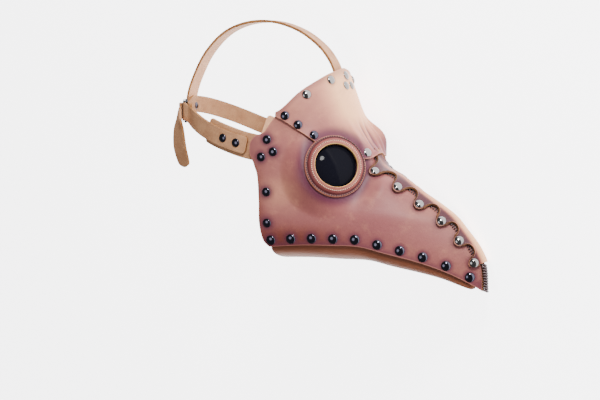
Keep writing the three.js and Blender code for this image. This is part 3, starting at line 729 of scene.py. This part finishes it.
ridge_lengths, border = strip_rows()
columns = np.linspace(-1, 1, STRIP_COLUMNS)
strip_grid = np.zeros((len(border), STRIP_COLUMNS, 3))
for i, share in enumerate(columns):
    length = ridge_lengths + (border[:, 0] - ridge_lengths) * abs(share) ** 1.4
    curl = 0.5 * abs(share) ** 6
    right = on_beak(length, border[:, 1] * abs(share), OVER_RIDGE + curl)
    strip_grid[:, i] = right * [1, -np.sign(share), 1]
tucked = (strip_grid[-1] - strip_grid[-3]) / 2
under_tab = [strip_grid[-1] + tucked * k for k in range(1, TUCKED_ROWS + 1)]
strip_grid = np.concatenate([strip_grid, under_tab])
border = np.concatenate([border, np.repeat(border[-1:], TUCKED_ROWS, axis=0)])
strip_reaches = border[:, 1:] * np.abs(columns)[None, :]
# Darker down the strip's sides, away from the ridge, and round its rivets; painted shade at the nose end,
# where it runs under the brow's tab.
strip_dye_and_shade = np.maximum.reduce(np.broadcast_arrays(
    smooth(strip_reaches, 2.5, 7.5) * 0.86, near(strip_grid, places_of("lobe"), 6.5) * 0.9,
    (1 - smooth(border[:, :1], 2, 20)) * 0.8,
))
# Painted highlight along the ridge line, stronger towards the tip.
strip_highlight = (1 - smooth(strip_reaches, 1, 5.5)) * (0.35 + 0.85 * smooth(border[:, :1], 30, 110))
strip = cloth_of_grid(
    "strip_leather_piece", strip_grid, [strip_leather, strip_edge, strip_edge],
    {"dye_and_shade": strip_dye_and_shade, "pale_and_highlight": strip_highlight}, STRIP_THICKNESS, bevel=0.5,
)
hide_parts("ridge_strip")


# Rivets: metal double-cap rivets, plated nickel, a turned dome outside and a flatter cap inside, pressed
# together on one post through a hole punched in the leather. The rows on the ridge, the nose and the
# brow's top have the bright finish, the rest a darker copy of it: a painted reflection of a dark surround.

CAP = [
    (0.02, 2.1), (0.9, 2.06), (1.8, 1.94), (2.7, 1.70), (3.5, 1.36), (4.2, 0.95), (4.62, 0.58), (4.8, 0.28),
    (4.74, 0.06), (4.4, 0.0), (1.75, 0.0),
]
INNER_CAP = [(1.75, -0.2), (4.3, -0.2), (4.4, -0.5), (4.0, -1.0), (2.6, -1.4), (0.02, -1.55)]
CAP_SIZE, LOWER_CAP_SIZE = 1.06, 1.16
DEPTH = {"brow_top": LEATHER, "seam": OVER + LEATHER, "ear": 2 * PLY, "cheek": LEATHER,
         "lobe": OVER_RIDGE + LEATHER, "nose": OVER + LEATHER, "lower": PLY + LEATHER}
BRIGHT = {"brow_top", "lobe", "nose"}


def metal(name, base, rough):
    """Plated metal: near-mirror, with hairline scratches and a bloom of handling."""
    g = Graph(name)
    bloom = g.noise(260, 5, 0.6)
    hair = g.noise(900, 2, 0.5, g.stretched((1, 9, 1)))
    dulled = g.ramp(bloom * 0.7 + hair * 0.4, 0.45, 0.75)
    colour = g.mix(dulled * 0.35, base, toned(base, 0.55))
    return g.surface(
        Base_Color=colour, Metallic=1.0, Roughness=rough + dulled * 0.12, Normal=g.bump(hair, 0.00003, 0.3),
    )


# A darker copy of the nickel plate: a painted reflection of a dark surround.
dark_reflection_nickel = metal("dark_reflection_nickel", (0.040, 0.038, 0.052), 0.09)
bright_nickel = metal("bright_nickel", (0.15, 0.145, 0.142), 0.10)


def rings_round(middles, side, other, radius, sides):
    """Circles of places round middles: middle + radius (cos a side + sin a other)."""
    angle = np.linspace(0, 2 * np.pi, sides, endpoint=False)[:, None]
    out = np.cos(angle) * side[..., None, :] + np.sin(angle) * other[..., None, :]
    return middles[..., None, :] + radius[..., None, None] * out


def tubes(name, rings, materials):
    """Round bodies from rings of places (bodies, rings, places, 3): faces between neighbouring rings and
    one over each end."""
    index = np.arange(rings[..., 0].size).reshape(rings.shape[:-1])
    beside = np.roll(index, -1, axis=-1)
    wall = np.stack([index[:, :-1], beside[:, :-1], beside[:, 1:], index[:, 1:]], axis=-1).reshape(-1, 4)
    ends = index[:, 0, ::-1].tolist() + index[:, -1].tolist()
    return piece(name, rings.reshape(-1, 3), wall.tolist() + ends, materials)


def turned(name, profile, centres, material, sides=28):
    """Bodies of revolution joined in one mesh. profile is (radius, height) pairs from the top's middle
    to the foot's middle; centres are (place, axis) pairs."""
    radius, height = np.array(profile[::-1], float).T
    place, axis = np.array(centres, float).swapaxes(0, 1)[:, :, None]
    side = unit(np.cross(axis, [0.31, 0.2, 0.93]))
    middles = place + height[:, None] * axis
    return tubes(name, rings_round(middles, side, np.cross(axis, side), radius, sides), [material])


def rivet_body(name, centres, depth, material, size=CAP_SIZE):
    """Cap, post through the leather and the cap inside it."""
    cap = [(radius * size, height * size) for radius, height in CAP[:-1]] + CAP[-1:]
    inner = [(radius, height - depth) for radius, height in INNER_CAP]
    body = turned(name, cap + inner, centres, material)
    return body


for row, pairs in rivets.items():
    # The rest take the darker copy, a painted reflection of a dark surround.
    finish = bright_nickel if row in BRIGHT else dark_reflection_nickel
    for side, flip in SIDES:
        centres = [(point * flip, axis * flip) for point, axis in pairs]
        if row == "lower":
            rivet_body(f"lower_row_rivets_{side}", centres, DEPTH[row], finish, LOWER_CAP_SIZE)
            continue
        for number, centre in enumerate(centres, 1):
            name = f"rivet_{row}_{side}" + ("" if row == "nose" else f"_{number}")
            rivet = rivet_body(name + "_cap", [centre], DEPTH[row], finish)
            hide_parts(name)
brow_left = [part * MIRROR for part in brow_side]
for name, centre in (("middle", brow_middle), ("right", brow_side), ("left", brow_left)):
    rivet = rivet_body(f"rivet_brow_{name}_cap", [centre], OVER + PLY, bright_nickel)
    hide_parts(f"rivet_brow_{name}")


# Lacing: waxed dark red cord, drawn by hand through the two side panels. It laces the ridge seam, seen in
# the notches of the strip, and is whipped close over a near-black core round the open seam of the tip,
# the core painted shade showing in the gaps between the wraps.

STRANDS, STRAND_PITCH, STRAND_SLANT = 7, 3.0, 2.2
WRAP_PITCH = 2.9


def cord_material(name, base, dark, rough):
    """Twisted cord: fine strands between the dark and the base colour."""
    g = Graph(name)
    ply = g.noise(1500, 3, 0.6, g.stretched((1, 1, 2.5)))
    return g.surface(
        Base_Color=g.mix(g.ramp(ply, 0.35, 0.7), dark, base), Roughness=rough + ply * 0.2,
        Normal=g.bump(ply, 0.0002, 0.6),
    )


dark_cord = cord_material("waxed_cord", (0.050, 0.013, 0.016), (0.008, 0.003, 0.004), 0.30)
# A near-black core: painted shade between the wraps of the tip seam.
shade_core_cord = cord_material("seam_shade_core", (0.012, 0.003, 0.004), (0.004, 0.001, 0.001), 0.5)


def cords(name, paths, radius, material, sides=7):
    """Round cords along paths of one length (cords, places, 3). Over the last eighth at each end the
    radius falls with the root of the way left."""
    paths = np.array(paths)
    run = unit(np.gradient(paths, axis=1))
    side = unit(np.cross(run, [0.37, 0.21, 0.9]))
    share = np.linspace(0, 1, paths.shape[1])
    thick = radius * np.minimum(1, np.sqrt(np.minimum(share, 1 - share) * 8) + 0.05)
    body = tubes(name, rings_round(paths, side, np.cross(run, side), thick, sides), [material])


lacing = []
share = np.linspace(0, 1, 7)
for notch in FIRST_LOBE + PITCH * (np.arange(LOBES - 1) + 0.5):
    for k in range(-(STRANDS // 2), STRANDS // 2 + 1):
        length = notch + STRAND_PITCH * k + STRAND_SLANT * share
        lift = 0.35 + 0.75 * np.sin(np.pi * share)
        right = on_beak(length, 4.0 + 6.5 * share, lift[:, None])
        lacing += [right, right * MIRROR]
cords("ridge_lacing", lacing, 0.85, dark_cord)

share = np.linspace(-1, 1, 11)
wrap_z = np.arange(-110.0, -140, -WRAP_PITCH)[:, None] - 1.3 * share
wrap_x = ridge_at(wrap_z) - 4.6 * np.abs(share) ** 2.2 + 1.3
tip_wraps = np.stack([wrap_x, 4.4 * share + 0 * wrap_z, wrap_z], axis=-1)
cords("tip_seam", tip_wraps, 1.2, dark_cord)
seam_z = np.linspace(-108, -140.5, 40)
seam_shade_core = np.stack([ridge_at(seam_z) - 0.3, 0 * seam_z, seam_z], axis=-1)
cords("tip_seam_shade_core", [seam_shade_core], 2.3, shade_core_cord)


# Beak gusset: the U-shaped piece of brown dyed leather that closes the underside, wet formed to a belly.
# Its flanges stand inside the side panels, held by their lower rows of rivets.

GUSSET_REAR, GUSSET_FRONT = -80, 147
FLANGE = 13
BELLY_SHARE = 0.66
gusset_depth = curve_through([(-80, 18.5), (-9, 21), (54, 19), (103, 14.5), (139, 8.5), (147, 6)])
gusset_leather = grain_leather(
    "gusset_leather", (0.20, 0.066, 0.032), (0.30, 0.118, 0.058), (0.035, 0.010, 0.007), 0.48)
dark_edge = fibre_leather("burnished_edge", (0.10, 0.036, 0.014), (0.03, 0.009, 0.005))


def gusset_places():
    """Across, a half ellipse hangs from the lower edge of one panel to that of the other, and a flange
    stands above it on either side; the same curve is carried along the beak."""
    across = np.linspace(-1, 1, 61)
    up = np.maximum((np.abs(across) - BELLY_SHARE) / (1 - BELLY_SHARE), 0) * FLANGE
    x, up = np.broadcast_arrays(np.linspace(GUSSET_REAR, GUSSET_FRONT, 110)[:, None], up)
    point, normal = skin_frame(x, lower_edge(x) + up)
    inside = point - normal * PLY
    swing = np.clip(across / BELLY_SHARE, -1, 1) * np.pi / 2
    y = -inside[..., 1] * np.sin(swing)
    z = inside[..., 2] - gusset_depth(x) * np.cos(swing)
    return np.stack([inside[..., 0], y, z], axis=-1), np.abs(across) + 0 * x


gusset_grid, off_middle = gusset_places()
# Painted shade darkens the belly up towards the side panels' edges; a faint painted highlight lies along its
# middle.
gusset = cloth_of_grid(
    "gusset_leather_piece", gusset_grid, [gusset_leather, dark_edge, flesh_side],
    {"dye_and_shade": smooth(off_middle, 0.3, 0.7) * 0.7, "pale_and_highlight": (1 - smooth(off_middle, 0, 0.4)) * 0.1},
)
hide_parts("beak_gusset")


# Eyepieces: a wet-formed leather ring sewn round each eye with an outer row of plum stitches, its raised
# rim sewn again inside in pink and cut open; a smoked acrylic dome sits under the rim.

RING_PROFILE = np.array([
    (24.75, 5.6), (24.75, 8.2), (24.9, 8.9), (25.4, 9.35), (26.2, 9.4), (26.9, 9.15), (27.7, 8.45),
    (28.3, 8.05), (28.9, 7.75), (29.8, 7.5), (31.0, 6.9), (31.9, 5.9), (32.4, 4.8), (32.8, 4.4),
    (33.3, 4.5), (34.1, 4.55), (34.8, 4.45), (35.3, 4.1), (35.5, 3.6), (35.5, 0.4), (29.6, 0.36),
])
LENS_PROFILE = [
    (0.02, 7.6), (3, 7.55), (6, 7.35), (10, 6.95), (13, 6.5), (17, 5.7), (20, 4.9), (22.6, 4.0), (24.0, 3.4),
    (24.35, 2.8), (24.3, 0.6), (23.2, 0.4), (20, 1.3), (15, 2.8), (10, 3.8), (5, 4.3), (0.02, 4.4),
]
HOLE_PROFILE = [(0.02, 0.24), (0.6, 0.22), (0.84, 0.08), (0.75, -0.2), (0.02, -0.2)]
SEWN_OUTSIDE, OUTER_STITCHES = 34.1, 76
SEWN_INSIDE, INNER_STITCHES = 28.6, 80
STITCH_HALF, STITCH_RISE, THREAD_RADIUS = 0.72, 0.45, 0.6
RING_STEPS = 240
ring_leather = grain_leather(
    "ring_leather", (0.150, 0.036, 0.030), (0.34, 0.130, 0.078), (0.032, 0.0055, 0.009), 0.44)
cream_edge = fibre_leather("cream_edge", (0.66, 0.42, 0.16), (0.36, 0.17, 0.05))
plum_thread = cord_material("plum_thread", (0.20, 0.070, 0.055), (0.08, 0.022, 0.020), 0.45)
pink_thread = cord_material("pink_thread", (0.66, 0.38, 0.28), (0.36, 0.15, 0.11), 0.5)
# Near-black discs over the stitch holes: painted shade inside the holes.
hole_shade = Graph("painted_hole_shade").surface(Base_Color=(0.012, 0.004, 0.004), Roughness=0.7)


def on_ring(radius, angle, height):
    """Place over the right eye's seat."""
    first = unit(np.cross([0, 0, 1], EYE_NORMAL))
    second = np.cross(EYE_NORMAL, first)
    radius, angle, height = (part[..., None] for part in np.broadcast_arrays(radius, angle, height))
    return EYE + radius * (np.cos(angle) * first + np.sin(angle) * second) + height * EYE_NORMAL


ring_r, ring_h = RING_PROFILE.T
ring_a = np.linspace(0, 2 * np.pi, RING_STEPS, endpoint=False)[:, None]
pull = np.cos(ring_a * OUTER_STITCHES) * band(ring_r, SEWN_OUTSIDE, 0.9)
pull = 0.10 * (pull + np.cos(ring_a * INNER_STITCHES) * band(ring_r, SEWN_INSIDE, 0.8))
ring_grid = on_ring(ring_r, ring_a, ring_h - np.abs(pull))
# The ring's plum: darker along both stitch lines, with painted shade in the groove round the flange and on
# the lower rear of the raised cone, turned from the light.
shaded_lower_rear = smooth(-np.cos(ring_a - 0.6), -0.2, 1.0)
ring_dye_and_shade = np.maximum.reduce(np.broadcast_arrays(
    band(ring_r, 32.7, 1.0) * 1.1, band(ring_r, SEWN_OUTSIDE, 0.6) * 0.35,
    band(ring_r, SEWN_INSIDE, 0.6) * 0.6, 0.25 + 0.4 * shaded_lower_rear * band(ring_r, 31.0, 1.6),
))
ring_pale = 0.55 * band(ring_r, 35.2, 0.5) + 0.45 * band(ring_r, 27.3, 0.9)
ring_fields = {"dye_and_shade": ring_dye_and_shade, "pale_and_highlight": ring_pale + 0 * pull, "edge": 0 * pull + 9.0, "warm": 0 * pull}
span_r, span_h = (RING_PROFILE + np.roll(RING_PROFILE, -1, axis=0)).T / 2
cut_open = (span_r < 25.6) & (span_h > 6)


def ring_of_grid(name, grid, fields):
    """A closed body from a grid that closes on itself both ways; its cut rim has the second material."""
    index = np.arange(grid[..., 0].size).reshape(grid.shape[:2])
    onward, beside = np.roll(index, -1, axis=0), np.roll(index, -1, axis=1)
    faces = np.stack([index, beside, np.roll(onward, -1, axis=1), onward], axis=-1).reshape(-1, 4)
    fields = {key: value.reshape(-1) for key, value in fields.items()}
    body = piece(name, grid.reshape(-1, 3), faces.tolist(), [ring_leather, cream_edge], fields)
    body.data.polygons.foreach_set("material_index", np.tile(cut_open, len(grid)).astype(int))
    return body


def stitch_row(radius, count, height):
    """Short stitches along a circle, each a low arch of height rise x (1 - share^2)."""
    share = np.linspace(-1, 1, 6)
    angle = 2 * np.pi * np.arange(count)[:, None] / count + share * STITCH_HALF / radius
    return on_ring(radius, angle, height + STITCH_RISE * (1 - share**2) - 0.22)


def holes_between(radius, count, height):
    """Places on a circle, midway between its stitches."""
    return on_ring(radius, 2 * np.pi * (np.arange(count) + 0.5) / count, height - 0.03)


def lens_material():
    """Smoked acrylic: black and glossy, with a little dust and fine polishing marks."""
    g = Graph("smoked_acrylic")
    dust = g.ramp(g.noise(1800, 2, 0.5), 0.72, 0.8)
    haze = g.noise(40, 4, 0.6)
    return g.surface(
        Base_Color=g.mix(dust * 0.3, (0.003, 0.003, 0.005), (0.05, 0.05, 0.06)),
        Roughness=0.2 + haze * 0.06 + dust * 0.1, Specular_IOR_Level=0.0, Coat_Weight=0.03,
        Coat_Roughness=0.05,
    )


smoked = lens_material()
sewn = {
    "outer": (SEWN_OUTSIDE, OUTER_STITCHES, 4.5, plum_thread),
    "inner": (SEWN_INSIDE, INNER_STITCHES, 7.85, pink_thread),
}
hole_centres = np.concatenate([holes_between(*row[:3]) for row in sewn.values()])
for side, flip in SIDES:
    onward = flip[1]
    fields = {key: value[::onward] for key, value in ring_fields.items()}
    ring = ring_of_grid(f"eyepiece_{side}", (ring_grid * flip)[::onward], fields)
    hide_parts(f"eye_ring_{side}")
    for row, (radius, count, height, thread) in sewn.items():
        stitches = stitch_row(radius, count, height) * flip
        cords(f"ring_{row}_stitches_{side}", stitches, THREAD_RADIUS, thread, 6)
    normal = EYE_NORMAL * flip
    # Painted shade: a near-black disc on each stitch hole.
    hole_shade_discs = turned(
        f"ring_hole_shades_{side}", HOLE_PROFILE, [(centre * flip, normal) for centre in hole_centres], hole_shade, 10)
    lens = turned(f"lens_dome_{side}", LENS_PROFILE, [(EYE * flip, normal)], smoked, 72)
    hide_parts(f"lens_{side}")


# Straps: 20 mm straps of natural leather with raw edges, in the round that use gives them, and riveted to
# a short wide tab under each ear. The right one folds round the buckle's bar, the left one runs round the
# back and through the buckle, the top one from the brow to the back.

LOOP_X, LOOP_LONG, LOOP_HALF = -121.0, 101.0, 77.0
STRAP_WIDTH, TAB_WIDTH = 20, 30
BAR_LENGTH, WIRE = 26.0, 3.0
ON_TAB = -LEATHER / 2
UNDER_TAB = ON_TAB - PLY
FOLD = WIRE / 2 + 0.35 + LEATHER / 2
OVER_FOLD = FOLD + PLY
strap_leather = grain_leather(
    "strap_leather", (0.46, 0.225, 0.118), (0.66, 0.385, 0.225), (0.12, 0.035, 0.014), 0.48)
strap_height = curve_through([
    (-222, 65), (-212, 60), (-192, 50.5), (-162, 37), (-130, 26.5), (-104, 19.5), (-72, 14),
])


def on_loop(degrees, out, width=STRAP_WIDTH):
    """Point, direction across, width, outward normal and run of a strap at an angle round the ellipse of
    the loop; its height is that of strap_height."""
    angle = math.radians(degrees)
    normal = unit(np.array([math.cos(angle) / LOOP_LONG, -math.sin(angle) / LOOP_HALF, 0]))
    x = LOOP_X + LOOP_LONG * math.cos(angle)
    point = np.array([x, -LOOP_HALF * math.sin(angle), float(strap_height(x))])
    run = unit(np.array([-math.sin(angle) * LOOP_LONG, -math.cos(angle) * LOOP_HALF, 0]))
    slope = float(strap_height(x - 2) - strap_height(x + 2)) / 4 * -run[0]
    return point + normal * out, unit(np.array([0, 0, 1.0]) - slope * run), width, normal, run


def strap(name, node, places, rows, fittings=(), square=4.0):
    """A ribbon through places of (point, across, width, ...), its ends cut with rounded corners. Its
    grain faces along run x across, which is inwards on the tabs, the right and the top strap."""
    middle = smooth_path([place[0] for place in places], rows)
    cross = unit(smooth_path([place[1] for place in places], rows))
    width = smooth_path([[place[2]] for place in places], rows)
    run = run_along(middle)
    ends = np.minimum(run, run[-1] - run)
    inset = square - np.sqrt(np.maximum(square**2 - np.maximum(square - ends, 0) ** 2, 0))
    wide = (width[:, 0] - 2 * inset)[:, None] * np.linspace(0.5, -0.5, 13)
    grid = middle[:, None] + cross[:, None] * wide[..., None]
    body = cloth_of_grid(
        name, grid, [strap_leather, cut_edge, flesh_side],
        {"dye_and_shade": near(grid, fittings, 8.0) * 0.35, "pale_and_highlight": 0 * wide + 0.35}, inward=0.0, bevel=0.8,
    )
    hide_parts(node)


tab = [on_loop(angle, UNDER_TAB, TAB_WIDTH) for angle in (62, 72, 84, 96, 106, 114)]
strap_rivets = [on_loop(angle, 0) for angle in (88, 98)]
rivet_points = np.array([place[0] for place in strap_rivets])
strap("tab_right", "strap_tab_right", tab, 60, rivet_points)
tab_left = [(point * MIRROR, -across * MIRROR, width) for point, across, width, *_ in tab]
strap("tab_left", "strap_tab_left", tab_left, 60)

bar_point, bar_across, _, bar_normal, bar_run = on_loop(148, 0)


def near_bar(back, out, up=0.0):
    """The bar's middle + back along the strap + out of the loop + up across the strap."""
    return bar_point + bar_run * back + bar_normal * out + bar_across * up


def hanging(share, degrees):
    """Across the hanging end: turned down by a share, and swung out by an angle."""
    return unit(bar_across * (1 - share) + turn_about("Z", degrees) @ bar_run * share)


FROM_TAB = (80.5, 92, 104, 116, 128, 140)
folded = [near_bar(FOLD * math.sin(a), FOLD * math.cos(a)) for a in np.linspace(0, np.pi, 9)]
folded = [near_bar(-8, FOLD), *folded, near_bar(-8, -FOLD), near_bar(-16, -FOLD)]
right_places = [on_loop(angle, ON_TAB) for angle in FROM_TAB]
right_places += [(point, bar_across, STRAP_WIDTH) for point in folded]
strap("strap_right", "side_strap_right", right_places, 260, rivet_points)

left_places = [on_loop(angle, ON_TAB) for angle in (*FROM_TAB, 152, 164, 176)]
left_places = [(point * MIRROR, across * MIRROR, width) for point, across, width, *_ in left_places]
left_places.append(on_loop(174, ON_TAB - 1))
for back, out in ((BAR_LENGTH, -FOLD - 0.4), (BAR_LENGTH / 2, 1.6), (0, OVER_FOLD)):
    left_places.append((near_bar(back, out), bar_across, STRAP_WIDTH))
for back, out, up, share, swing, width in [
    (-9, 1, -2, 0.35, 0, 15), (-14, 2.5, -10, 0.75, 8, 15), (-15, 3, -24, 1, 28, 18),
    (-15, 1, -45, 1, 38, 19), (-15, -4, -64, 1, 42, 16), (-15, -6, -70, 1, 42, 8),
]:
    left_places.append((near_bar(back, OVER_FOLD + out, up), hanging(share, swing), width))
strap("strap_left", "side_strap_left", left_places, 380, rivet_points * MIRROR)

top_places = [
    (-13.8, 76), (-22.5, 97), (-31, 116), (-46, 134), (-72, 151.5), (-105, 162), (-140, 162), (-172, 151),
    (-198, 128), (-215, 100), (-224, 76), (-225.2, 54),
]
strap("strap_top", "top_strap", [((x, 0, z), (0, 1, 0), STRAP_WIDTH) for x, z in top_places], 260)

for side, flip in SIDES:
    for number, (point, _, _, normal, _) in enumerate(strap_rivets, 1):
        centre = (point * flip, normal * flip)
        rivet = rivet_body(f"rivet_strap_{side}_{number}_cap", [centre], 2 * PLY, dark_reflection_nickel)
        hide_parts(f"rivet_strap_{side}_{number}")
rear = rivet_body("rivet_rear_cap", [((-226.5, 0, 63), (-1, 0, 0))], 2 * PLY, dark_reflection_nickel)
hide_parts("rivet_rear")


# Buckle: 3 mm metal wire, bent to a frame with rounded corners and enamelled black, with a prong on its
# near bar; the fold of the right strap holds it.

CORNER, HALF_FRAME = 3.0, 13.5
enamel = metal("black_enamel", (0.02, 0.02, 0.024), 0.16)


def rod(name, path, radius):
    """A round rod along a path that lies flat on the loop: side = run x the loop's normal."""
    path = np.array(path)
    flat = np.broadcast_to(bar_normal, path.shape)
    side = unit(np.cross(np.gradient(path, axis=0), flat))
    body = tubes(name, rings_round(path, flat, side, radius, 12)[None], [enamel])
    return body


def frame_path():
    """A quarter of a circle at each of the four corners, joined by straight bars."""
    front, rear, half = CORNER, BAR_LENGTH - CORNER, HALF_FRAME - CORNER
    path = []
    for back, up, start in ((rear, half, 0), (front, half, 90), (front, -half, 180), (rear, -half, 270)):
        for a in np.radians(np.linspace(start, start + 90, 7)):
            path.append(near_bar(back + CORNER * math.cos(a), 0, up + CORNER * math.sin(a)))
    return smooth_path(path + path[:2], 120)


buckle = rod("buckle_wire", frame_path(), np.full(120, WIRE / 2))
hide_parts("buckle_frame")
prong_path = [near_bar(back, 3.05 - 0.0004 * back**2) for back in np.linspace(2.2, 27.5, 14)]
prong = rod("prong", prong_path, np.linspace(1.2, 0.95, 14))
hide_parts("buckle_prong")


# Studio: a bright pale floor, a soft key light in front and above, and a wider, weaker fill from the left;
# the camera stands to the lying mask as it would to an upright one.

DISTANCE = 1672
TARGET = np.array([-75.0, 0.0, -47.0])
TOWARDS = np.array([0.46771, -0.87963, 0.08716])
RIGHT = unit(np.cross([0, 0, 1.0], TOWARDS))
ABOVE = np.cross(TOWARDS, RIGHT)
floor_tone = Graph("floor").surface(
    Base_Color=(0.93, 0.93, 0.95), Roughness=0.9, Specular_IOR_Level=0.1,
    Emission_Color=(1.0, 0.99, 1.0), Emission_Strength=5.0,
)
floor_mesh = bpy.data.meshes.new("floor")
floor_mesh.from_pydata([(-6, -6, 0), (6, -6, 0), (6, 6, 0), (-6, 6, 0)], [], [(0, 1, 2, 3)])
floor_mesh.materials.append(floor_tone)
floor = bpy.data.objects.new("floor", floor_mesh)
bpy.context.scene.collection.objects.link(floor)


def soft_light(name, direction, distance, power, size, colour):
    """An area light aimed at the mask from a direction in the row frame."""
    data = bpy.data.lights.new(name, "AREA")
    data.shape = "DISK"
    data.energy, data.size, data.color = power, size, colour
    light = bpy.data.objects.new(name, data)
    direction = Vector(direction).normalized()
    aim = direction.to_track_quat("Z", "Y").to_matrix().to_4x4()
    light.matrix_world = Matrix.Translation(Vector(laid(TARGET)) + direction * distance) @ aim
    bpy.context.scene.collection.objects.link(light)


camera_row, right_row, above_row = LYING @ TOWARDS, LYING @ RIGHT, LYING @ ABOVE
soft_light("key", camera_row * 0.8 + right_row * 0.05 + above_row * 0.55, 1.8, 54, 0.28, (1.0, 0.98, 0.95))
soft_light("fill", camera_row * 0.9 - right_row * 0.7 - above_row * 0.1, 1.9, 20, 1.2, (0.95, 0.96, 1.0))

world = bpy.data.worlds.new("studio")
world.use_nodes = True
sky = world.node_tree.nodes["Background"].inputs
sky["Color"].default_value = (0.93, 0.95, 1.0, 1)
sky["Strength"].default_value = 0.28
bpy.context.scene.world = world

camera_data = bpy.data.cameras.new("camera")
camera_data.lens = 85
camera_data.sensor_width = 36
camera_data.clip_end = 50
camera = bpy.data.objects.new("camera", camera_data)
facing = Matrix(np.stack([right_row, above_row, camera_row], axis=-1).tolist())
camera.matrix_world = Matrix.Translation(laid(TARGET + TOWARDS * DISTANCE)) @ facing.to_4x4()
bpy.context.scene.collection.objects.link(camera)
bpy.context.scene.camera = camera

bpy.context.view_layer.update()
